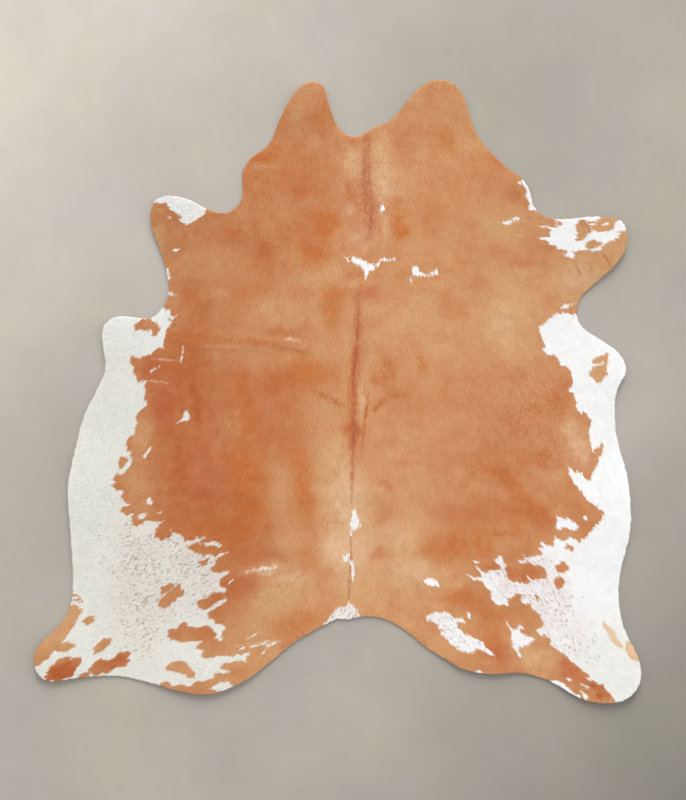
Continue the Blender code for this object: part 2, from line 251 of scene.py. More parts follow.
BROWN_ISLETS = {
    "left elbow": (
        (-0.672, 0.21), (-0.664, 0.222), (-0.648, 0.235), (-0.629, 0.237), (-0.612, 0.229),
        (-0.596, 0.219), (-0.586, 0.207), (-0.591, 0.193), (-0.596, 0.183), (-0.606, 0.183),
        (-0.613, 0.197), (-0.621, 0.207), (-0.63, 0.194), (-0.642, 0.203), (-0.665, 0.202),
    ),
    "left belly loop": (
        (-0.717, -0.217), (-0.7, -0.217), (-0.697, -0.23), (-0.7, -0.247), (-0.712, -0.255),
        (-0.72, -0.261), (-0.722, -0.238),
    ),
    "left flank prong": (
        (-0.494, -0.516), (-0.484, -0.507), (-0.47, -0.501), (-0.456, -0.5), (-0.446, -0.507),
        (-0.438, -0.516), (-0.424, -0.516), (-0.405, -0.513), (-0.39, -0.518), (-0.38, -0.518),
        (-0.37, -0.528), (-0.392, -0.54), (-0.4, -0.545), (-0.41, -0.541), (-0.425, -0.54),
        (-0.44, -0.541), (-0.452, -0.537), (-0.47, -0.533), (-0.478, -0.528), (-0.488, -0.524),
    ),
    "left flank bit": (
        (-0.462, -0.56), (-0.452, -0.558), (-0.44, -0.561), (-0.43, -0.552), (-0.424, -0.555),
        (-0.43, -0.566), (-0.438, -0.573), (-0.448, -0.576), (-0.458, -0.575), (-0.458, -0.566),
    ),
    "left hind island": (
        (-0.585, -0.649), (-0.567, -0.641), (-0.548, -0.634), (-0.545, -0.644), (-0.523, -0.639),
        (-0.515, -0.655), (-0.506, -0.66), (-0.51, -0.674), (-0.523, -0.682), (-0.54, -0.692),
        (-0.553, -0.704), (-0.564, -0.714), (-0.589, -0.712), (-0.589, -0.695), (-0.583, -0.681),
    ),
    "left hind long island": (
        (-0.561, -0.801), (-0.553, -0.783), (-0.533, -0.786), (-0.52, -0.771), (-0.51, -0.765),
        (-0.496, -0.765), (-0.496, -0.774), (-0.477, -0.779), (-0.46, -0.78), (-0.44, -0.776),
        (-0.422, -0.775), (-0.413, -0.785), (-0.402, -0.795), (-0.401, -0.814), (-0.392, -0.826),
        (-0.43, -0.826), (-0.471, -0.825), (-0.505, -0.827), (-0.551, -0.82),
    ),
    "left rump arch": (
        (-0.566, -0.919), (-0.561, -0.906), (-0.546, -0.893), (-0.525, -0.89), (-0.505, -0.893),
        (-0.492, -0.906), (-0.483, -0.917), (-0.467, -0.925), (-0.471, -0.94), (-0.481, -0.946),
        (-0.505, -0.935), (-0.525, -0.929), (-0.534, -0.923), (-0.553, -0.925),
    ),
    "left hock upper": (
        (-0.843, -0.761), (-0.83, -0.745), (-0.8, -0.742), (-0.811, -0.761), (-0.832, -0.776),
    ),
    "left hock middle": (
        (-0.806, -0.86), (-0.797, -0.841), (-0.782, -0.823), (-0.761, -0.818), (-0.746, -0.818),
        (-0.755, -0.837), (-0.774, -0.855), (-0.8, -0.867),
    ),
    "left foot dark": (
        (-0.966, -0.942), (-0.952, -0.92), (-0.947, -0.905), (-0.929, -0.893), (-0.914, -0.882),
        (-0.888, -0.876), (-0.883, -0.885), (-0.845, -0.876), (-0.846, -0.893), (-0.856, -0.911),
        (-0.87, -0.926), (-0.873, -0.941), (-0.926, -0.955), (-0.955, -0.955),
    ),
    "left foot long": (
        (-0.823, -0.926), (-0.814, -0.908), (-0.797, -0.893), (-0.782, -0.882), (-0.764, -0.887),
        (-0.738, -0.882), (-0.723, -0.867), (-0.708, -0.86), (-0.681, -0.859), (-0.688, -0.873),
        (-0.697, -0.882), (-0.686, -0.888), (-0.697, -0.905), (-0.718, -0.911), (-0.741, -0.916),
        (-0.758, -0.929), (-0.785, -0.933), (-0.803, -0.935),
    ),
    "left foot edge": ((-0.856, -0.94), (-0.838, -0.929), (-0.823, -0.929), (-0.83, -0.96)),
    "left leg edge": (
        (-0.885, -0.706), (-0.862, -0.709), (-0.846, -0.722), (-0.853, -0.742), (-0.864, -0.767),
        (-0.879, -0.785), (-0.888, -0.803), (-0.904, -0.82), (-0.925, -0.848), (-0.941, -0.864),
        (-0.959, -0.881), (-0.974, -0.894), (-0.992, -0.908), (-1.06, -0.9), (-0.99, -0.79),
        (-0.93, -0.73), (-0.91, -0.7),
    ),
    "left leg inner": (
        (-0.936, -0.855), (-0.911, -0.833), (-0.897, -0.824), (-0.883, -0.831), (-0.868, -0.833),
        (-0.868, -0.846), (-0.883, -0.851), (-0.897, -0.862), (-0.914, -0.857),
    ),
    "right foreleg speck": (
        (0.723, 0.558), (0.735, 0.56), (0.743, 0.553), (0.735, 0.548), (0.725, 0.548),
    ),
    "right foreleg fold": (
        (0.812, 0.568), (0.821, 0.564), (0.833, 0.541), (0.839, 0.526), (0.822, 0.512), (0.806, 0.494),
        (0.787, 0.494), (0.79, 0.521), (0.787, 0.548), (0.801, 0.561),
    ),
    "right foreleg toe": (
        (0.833, 0.543), (0.829, 0.556), (0.856, 0.558), (0.87, 0.57), (0.89, 0.59), (0.915, 0.58),
        (0.926, 0.562), (0.915, 0.548), (0.905, 0.534), (0.88, 0.526), (0.846, 0.526),
    ),
    "right foreleg lower": (
        (0.816, 0.48), (0.828, 0.494), (0.844, 0.5), (0.861, 0.492), (0.873, 0.487), (0.865, 0.477),
        (0.839, 0.47), (0.821, 0.472),
    ),
    "right belly island": (
        (0.841, 0.09), (0.844, 0.101), (0.852, 0.112), (0.865, 0.119), (0.88, 0.118), (0.895, 0.122),
        (0.89, 0.098), (0.887, 0.079), (0.89, 0.063), (0.887, 0.051), (0.874, 0.041), (0.858, 0.025),
        (0.84, 0.044), (0.828, 0.054), (0.833, 0.066), (0.842, 0.076),
    ),
    "right flank bit": (
        (0.749, -0.514), (0.765, -0.505), (0.774, -0.513), (0.781, -0.521), (0.77, -0.525),
        (0.756, -0.522),
    ),
    "right hind upper": (
        (0.716, -0.581), (0.738, -0.563), (0.757, -0.572), (0.768, -0.587), (0.752, -0.599),
        (0.728, -0.597),
    ),
    "right hind lower": (
        (0.711, -0.627), (0.731, -0.61), (0.757, -0.627), (0.733, -0.654), (0.716, -0.642),
    ),
    "right leg edge": (
        (0.952, -0.827), (0.961, -0.821), (1.02, -0.85), (0.991, -0.892), (0.977, -0.888),
        (0.961, -0.872), (0.949, -0.854),
    ),
}

WHITE_SPOTS = {
    "withers": (
        (0.04, 0.447), (0.054, 0.442), (0.068, 0.434), (0.081, 0.436), (0.091, 0.428), (0.099, 0.42),
        (0.111, 0.418), (0.126, 0.419), (0.134, 0.429), (0.144, 0.436), (0.158, 0.436), (0.146, 0.427),
        (0.134, 0.416), (0.126, 0.408), (0.116, 0.396), (0.106, 0.389), (0.1, 0.381), (0.097, 0.367),
        (0.092, 0.367), (0.088, 0.381), (0.084, 0.396), (0.076, 0.403), (0.068, 0.412), (0.053, 0.417),
        (0.046, 0.422), (0.038, 0.43), (0.05, 0.431), (0.046, 0.438),
    ),
    "right of the withers": (
        (0.248, 0.413), (0.259, 0.413), (0.265, 0.405), (0.272, 0.393), (0.284, 0.388), (0.3, 0.384),
        (0.312, 0.38), (0.3, 0.376), (0.28, 0.378), (0.262, 0.377), (0.255, 0.376), (0.25, 0.371),
        (0.245, 0.374), (0.247, 0.388), (0.244, 0.4),
    ),
    "right shoulder": (
        (0.551, 0.554), (0.57, 0.561), (0.58, 0.563), (0.59, 0.571), (0.597, 0.564), (0.587, 0.558),
        (0.57, 0.556),
    ),
    "left flank": (
        (-0.507, -0.062), (-0.497, -0.06), (-0.486, -0.088), (-0.494, -0.098), (-0.513, -0.1),
        (-0.534, -0.108), (-0.512, -0.086),
    ),
    "left flank curl": (
        (-0.452, -0.5), (-0.442, -0.496), (-0.425, -0.5), (-0.412, -0.493), (-0.4, -0.491),
        (-0.389, -0.499), (-0.383, -0.511), (-0.388, -0.517), (-0.396, -0.515), (-0.404, -0.511),
        (-0.418, -0.512), (-0.43, -0.517), (-0.44, -0.513), (-0.444, -0.505),
    ),
    "loin": (
        (0.049, -0.389), (0.055, -0.384), (0.064, -0.391), (0.066, -0.408), (0.072, -0.427),
        (0.078, -0.446), (0.066, -0.451), (0.058, -0.457), (0.051, -0.463), (0.047, -0.459),
        (0.042, -0.439), (0.044, -0.421),
    ),
    "croup left": (
        (0.006, -0.56), (0.017, -0.55), (0.028, -0.541), (0.037, -0.537), (0.041, -0.547),
        (0.037, -0.56), (0.028, -0.564), (0.017, -0.561),
    ),
    "croup right": (
        (0.037, -0.563), (0.047, -0.56), (0.053, -0.569), (0.058, -0.588), (0.059, -0.607),
        (0.055, -0.623), (0.05, -0.645), (0.047, -0.62), (0.047, -0.601), (0.044, -0.582),
    ),
    "right flank": (
        (0.716, -0.412), (0.734, -0.416), (0.749, -0.42), (0.765, -0.416), (0.774, -0.423),
        (0.786, -0.435), (0.8, -0.449), (0.786, -0.464), (0.772, -0.46), (0.761, -0.456),
        (0.746, -0.453), (0.728, -0.459), (0.721, -0.453), (0.718, -0.437), (0.723, -0.428),
    ),
    "right rump small": (
        (0.284, -0.627), (0.3, -0.616), (0.318, -0.619), (0.332, -0.624), (0.334, -0.64),
        (0.338, -0.65), (0.322, -0.647), (0.306, -0.643), (0.294, -0.638),
    ),
    "right rump large": (
        (0.286, -0.75), (0.298, -0.742), (0.304, -0.732), (0.32, -0.729), (0.345, -0.731),
        (0.36, -0.729), (0.373, -0.735), (0.378, -0.742), (0.386, -0.747), (0.398, -0.751),
        (0.412, -0.748), (0.418, -0.754), (0.424, -0.765), (0.408, -0.765), (0.398, -0.768),
        (0.4, -0.78), (0.412, -0.791), (0.424, -0.799), (0.44, -0.806), (0.455, -0.814),
        (0.464, -0.823), (0.48, -0.827), (0.485, -0.836), (0.496, -0.846), (0.508, -0.858),
        (0.52, -0.874), (0.512, -0.877), (0.497, -0.866), (0.48, -0.858), (0.463, -0.852),
        (0.45, -0.861), (0.432, -0.864), (0.415, -0.862), (0.398, -0.853), (0.383, -0.845),
        (0.372, -0.836), (0.36, -0.823), (0.35, -0.811), (0.338, -0.8), (0.344, -0.79), (0.336, -0.78),
        (0.326, -0.772), (0.312, -0.76), (0.3, -0.757),
    ),
    "right hind star": (
        (0.566, -0.775), (0.573, -0.779), (0.582, -0.787), (0.592, -0.783), (0.594, -0.772),
        (0.604, -0.769), (0.612, -0.776), (0.616, -0.784), (0.606, -0.785), (0.603, -0.793),
        (0.612, -0.8), (0.622, -0.804), (0.64, -0.812), (0.655, -0.821), (0.64, -0.828),
        (0.622, -0.838), (0.608, -0.848), (0.596, -0.852), (0.603, -0.862), (0.612, -0.871),
        (0.608, -0.882), (0.602, -0.882), (0.596, -0.872), (0.59, -0.861), (0.583, -0.853),
        (0.572, -0.845), (0.578, -0.836), (0.573, -0.82), (0.574, -0.8), (0.57, -0.788),
    ),
    "right rump dot": ((0.748, -0.948), (0.76, -0.943), (0.776, -0.955), (0.764, -0.959)),
}

# Narrow marks as rows of (x, y, width), with a straight taper from each point to the next.
WHITE_LINES = {
    "left foreleg bit": ((-0.557, 0.572, 0.008), (-0.556, 0.568, 0.006)),
    "left shoulder dash": ((-0.545, 0.466, 0.006), (-0.526, 0.466, 0.006)),
    "left elbow edge": ((-0.566, 0.398, 0.014), (-0.56, 0.372, 0.014)),
    "left elbow spike": ((-0.563, 0.326, 0.016), (-0.545, 0.32, 0.008), (-0.53, 0.318, 0.002)),
    "left flank streak": ((-0.51, 0.146, 0.004), (-0.512, 0.113, 0.006), (-0.52, 0.092, 0.002)),
    "left flank dash": ((-0.591, 0.077, 0.004), (-0.616, 0.066, 0.006)),
    "left flank slash": ((-0.616, -0.191, 0.008), (-0.639, -0.217, 0.01)),
    "left flank dot": ((-0.624, -0.36, 0.012), (-0.619, -0.368, 0.018)),
    "left flank drop": ((-0.637, -0.408, 0.012), (-0.652, -0.416, 0.018)),
    "left flank tick": ((-0.593, -0.403, 0.003), (-0.584, -0.399, 0.006)),
    "flank line": (
        (-0.496, -0.502, 0.004), (-0.475, -0.497, 0.006), (-0.455, -0.491, 0.007),
        (-0.436, -0.479, 0.003),
    ),
    "flank line side": ((-0.462, -0.492, 0.005), (-0.467, -0.477, 0.003)),
    "flank spike": ((-0.403, -0.553, 0.008), (-0.39, -0.541, 0.006), (-0.361, -0.529, 0.002)),
    "flank spike side": ((-0.391, -0.541, 0.004), (-0.386, -0.53, 0.003)),
    "rump streak": (
        (-0.28, -0.592, 0.003), (-0.262, -0.587, 0.005), (-0.248, -0.584, 0.008),
        (-0.234, -0.587, 0.005), (-0.205, -0.583, 0.002),
    ),
    "rump streak tail": ((-0.304, -0.601, 0.003), (-0.297, -0.597, 0.004)),
    "rump tick": ((-0.361, -0.636, 0.003), (-0.351, -0.627, 0.004)),
    "rump dash": ((-0.293, -0.811, 0.003), (-0.276, -0.804, 0.006), (-0.263, -0.798, 0.004)),
    "rump line": ((-0.318, -0.848, 0.006), (-0.307, -0.846, 0.002)),
    "rump fork": (
        (-0.296, -0.845, 0.003), (-0.25, -0.835, 0.004), (-0.225, -0.836, 0.007),
        (-0.21, -0.832, 0.004), (-0.2, -0.825, 0.003),
    ),
    "rump fork up": ((-0.244, -0.83, 0.004), (-0.23, -0.822, 0.003)),
    "rump fork down": ((-0.226, -0.838, 0.005), (-0.24, -0.854, 0.002)),
    "rump fork end": ((-0.241, -0.861, 0.006), (-0.248, -0.868, 0.004)),
    "withers wisp": ((0.052, 0.44, 0.006), (0.036, 0.442, 0.004), (0.02, 0.441, 0.002)),
    "withers wisp low": ((0.052, 0.428, 0.006), (0.034, 0.428, 0.002)),
    "withers arm": (
        (0.14, 0.43, 0.006), (0.16, 0.433, 0.004), (0.176, 0.431, 0.005), (0.188, 0.434, 0.002),
    ),
    "withers arm right": (
        (0.3, 0.381, 0.004), (0.316, 0.39, 0.008), (0.327, 0.389, 0.006), (0.338, 0.398, 0.002),
    ),
    "withers drop": ((0.239, 0.372, 0.004), (0.243, 0.366, 0.007), (0.247, 0.358, 0.003)),
    "right spike": ((0.42, -0.601, 0.003), (0.434, -0.611, 0.006), (0.452, -0.62, 0.01)),
    "right spike up": ((0.458, -0.579, 0.003), (0.468, -0.593, 0.006), (0.482, -0.606, 0.01)),
    "right elbow": ((0.738, 0.274, 0.003), (0.752, 0.279, 0.008), (0.775, 0.288, 0.004)),
    "island slit": ((-0.582, -0.679, 0.006), (-0.56, -0.662, 0.004), (-0.533, -0.639, 0.005)),
    "neck dot": ((0.144, 0.61, 0.005), (0.149, 0.598, 0.013)),
    "toe bar": ((0.873, 0.549, 0.006), (0.893, 0.554, 0.008)),
    "toe hairs": ((0.831, 0.549, 0.004), (0.852, 0.549, 0.003)),
    "belly slit": ((0.834, 0.083, 0.009), (0.856, 0.085, 0.006), (0.88, 0.094, 0.003)),
    "loin tail": ((0.044, -0.463, 0.006), (0.042, -0.479, 0.003)),
    "right flank dot": ((0.817, -0.42, 0.012), (0.82, -0.423, 0.01)),
    "right hind specks": ((0.454, -0.566, 0.005), (0.466, -0.568, 0.005)),
    "right rump dash": ((0.43, -0.727, 0.003), (0.434, -0.739, 0.01), (0.438, -0.749, 0.004)),
    "right hind hair": ((0.556, -0.762, 0.002), (0.57, -0.778, 0.005)),
    "right shoulder": ((0.545, 0.552, 0.006), (0.574, 0.561, 0.01), (0.598, 0.569, 0.005)),
    "rump notch": ((0.801, -0.988, 0.006), (0.822, -1.008, 0.014)),
    "foot streak": ((0.81, -0.969, 0.004), (0.827, -0.978, 0.008)),
    "rump sliver": ((0.46, -0.923, 0.003), (0.472, -0.926, 0.009), (0.483, -0.928, 0.003)),
}

BROWN_LINES = {
    "left belly dot": ((-0.556, 0.237, 0.006), (-0.552, 0.234, 0.008)),
    "right hind dot": ((0.656, -0.677, 0.008), (0.66, -0.681, 0.008)),
    "left leg ring": (
        (-0.88, -0.672, 0.003), (-0.862, -0.676, 0.005), (-0.848, -0.686, 0.004), (-0.844, -0.7, 0.003),
    ),
    "left leg ring low": ((-0.884, -0.684, 0.003), (-0.866, -0.688, 0.004), (-0.856, -0.696, 0.003)),
}

# Lines of another shade in the brown: the shade, how soft the sides are, the share, and the points.
TINGES = {
    # dark hair down the neck's spine and painted shade of its crease
    "neck": ("spine line and crease shade", 0.026, 0.52, (
        (0.1, 0.868, 0.01), (0.095, 0.8, 0.016), (0.095, 0.74, 0.018), (0.092, 0.69, 0.022),
        (0.099, 0.64, 0.028), (0.105, 0.6, 0.038), (0.107, 0.56, 0.028), (0.104, 0.505, 0.012),
    )),
    "neck right": ("spine line and crease shade", 0.007, 0.6, (
        (0.106, 0.86, 0.003), (0.101, 0.78, 0.005), (0.104, 0.7, 0.005), (0.11, 0.64, 0.007),
        (0.112, 0.57, 0.006), (0.108, 0.5, 0.003),
    )),
    "neck left": ("spine line and crease shade", 0.007, 0.55, (
        (0.09, 0.86, 0.003), (0.086, 0.79, 0.005), (0.085, 0.7, 0.005), (0.09, 0.62, 0.005),
        (0.094, 0.56, 0.003),
    )),
    "neck spark": ("white", 0.005, 0.42, (
        (0.119, 0.672, 0.002), (0.134, 0.64, 0.003), (0.15, 0.616, 0.003),
    )),
    "back haze": ("ruddy", 0.022, 0.8, (
        (0.068, 0.32, 0.01), (0.068, 0.2, 0.022), (0.058, 0.1, 0.03), (0.052, 0.03, 0.034),
        (0.05, -0.06, 0.024), (0.054, -0.125, 0.04), (0.05, -0.18, 0.02), (0.047, -0.3, 0.004),
    )),
    # dark hair along the back's spine and painted shade of its crease
    "back": ("spine line and crease shade", 0.008, 0.78, (
        (0.07, 0.25, 0.003), (0.066, 0.18, 0.008), (0.057, 0.1, 0.01), (0.051, 0.03, 0.008),
        (0.052, -0.06, 0.006), (0.056, -0.12, 0.014), (0.052, -0.18, 0.009), (0.049, -0.26, 0.006),
        (0.047, -0.372, 0.003),
    )),
    "back branch": ("deep", 0.008, 0.7, (
        (0.101, -0.012, 0.004), (0.096, -0.06, 0.009), (0.088, -0.11, 0.008), (0.082, -0.17, 0.005),
        (0.081, -0.227, 0.003),
    )),
    "back side": ("ruddy", 0.018, 0.85, (
        (0.122, -0.062, 0.012), (0.145, -0.036, 0.022), (0.172, -0.018, 0.018), (0.225, -0.012, 0.01),
    )),
    "back knot": ("spine line and crease shade", 0.02, 0.6, (
        (0.052, -0.08, 0.008), (0.055, -0.125, 0.026), (0.051, -0.175, 0.01),
    )),
    # painted shade in the wrinkles across the neck
    "neck wrinkles": ("rosy", 0.006, 0.45, (
        (0.112, 0.8, 0.003), (0.15, 0.792, 0.003), (0.186, 0.796, 0.002),
    )),
    "neck wrinkles low": ("rosy", 0.006, 0.45, (
        (0.116, 0.756, 0.003), (0.16, 0.748, 0.003), (0.206, 0.75, 0.002),
    )),
    "neck wrinkles lowest": ("rosy", 0.006, 0.4, (
        (0.118, 0.712, 0.003), (0.16, 0.706, 0.003), (0.2, 0.702, 0.002),
    )),
    "left side": ("ruddy", 0.014, 0.85, (
        (-0.098, 0.004, 0.006), (-0.06, -0.01, 0.01), (-0.02, -0.03, 0.014), (0.018, -0.048, 0.008),
    )),
    # dark hair along the croup's spine and painted shade of its crease
    "croup": ("spine line and crease shade", 0.006, 0.65, (
        (0.043, -0.482, 0.003), (0.045, -0.547, 0.005), (0.041, -0.585, 0.006), (0.039, -0.64, 0.01),
        (0.037, -0.689, 0.005),
    )),
    # painted shade in the crease across the left ribs
    "rib crease": ("ruddy", 0.02, 0.8, (
        (-0.57, 0.19, 0.008), (-0.44, 0.178, 0.014), (-0.3, 0.167, 0.014), (-0.2, 0.148, 0.012),
        (-0.11, 0.124, 0.008),
    )),
    "rib crease light": ("golden", 0.008, 0.55, (
        (-0.46, 0.146, 0.004), (-0.37, 0.147, 0.006), (-0.28, 0.141, 0.005), (-0.2, 0.126, 0.003),
    )),
    # painted shade in the fold of the right foreleg
    "foreleg fold": ("deep", 0.006, 0.85, (
        (0.814, 0.568, 0.004), (0.826, 0.554, 0.007), (0.833, 0.531, 0.008), (0.836, 0.521, 0.005),
    )),
    "foreleg scar": ("deep", 0.005, 0.7, ((0.883, 0.443, 0.002), (0.903, 0.406, 0.005))),
    # painted shade in a crease of the right foreleg
    "foreleg crease shade": ("deep", 0.005, 0.6, ((0.785, 0.417, 0.002), (0.802, 0.383, 0.005))),
    "flank hair": ("cream", 0.004, 0.85, (
        (-0.612, 0.104, 0.003), (-0.57, 0.103, 0.005), (-0.523, 0.099, 0.003),
    )),
    "flank hair low": ("cream", 0.004, 0.75, (
        (-0.625, 0.035, 0.003), (-0.59, 0.03, 0.005), (-0.561, 0.022, 0.003),
    )),
    "back dash": ("cream", 0.01, 0.6, (
        (-0.176, 0.172, 0.004), (-0.15, 0.169, 0.008), (-0.126, 0.166, 0.003),
    )),
    "back dash middle": ("white", 0.006, 0.42, ((-0.16, 0.171, 0.003), (-0.14, 0.168, 0.006))),
    "shoulder hair": ("cream", 0.006, 0.7, (
        (0.532, 0.548, 0.003), (0.556, 0.555, 0.006), (0.62, 0.562, 0.003),
    )),
    "shoulder hair low": ("cream", 0.006, 0.6, ((0.59, 0.515, 0.004), (0.614, 0.507, 0.003))),
    "rib mark": ("cream", 0.005, 0.8, ((0.628, 0.118, 0.003), (0.64, 0.106, 0.006))),
    "rump hair": ("cream", 0.01, 0.6, ((-0.32, -0.6, 0.004), (-0.2, -0.58, 0.012))),
    "rump hair low": ("cream", 0.01, 0.5, ((-0.34, -0.84, 0.004), (-0.19, -0.826, 0.01))),
    "elbow hair": ("cream", 0.008, 0.6, ((0.735, 0.27, 0.006), (0.785, 0.29, 0.01))),
}

# Bald pale strips in the white.
PALE_STRIPS = {
    "right leg": (
        (0.873, -0.757), (0.886, -0.766), (0.905, -0.783), (0.918, -0.795), (0.919, -0.812),
        (0.931, -0.824), (0.942, -0.838), (0.942, -0.851), (0.925, -0.846), (0.91, -0.835),
        (0.9, -0.822), (0.892, -0.803), (0.883, -0.786), (0.875, -0.772),
    ),
}

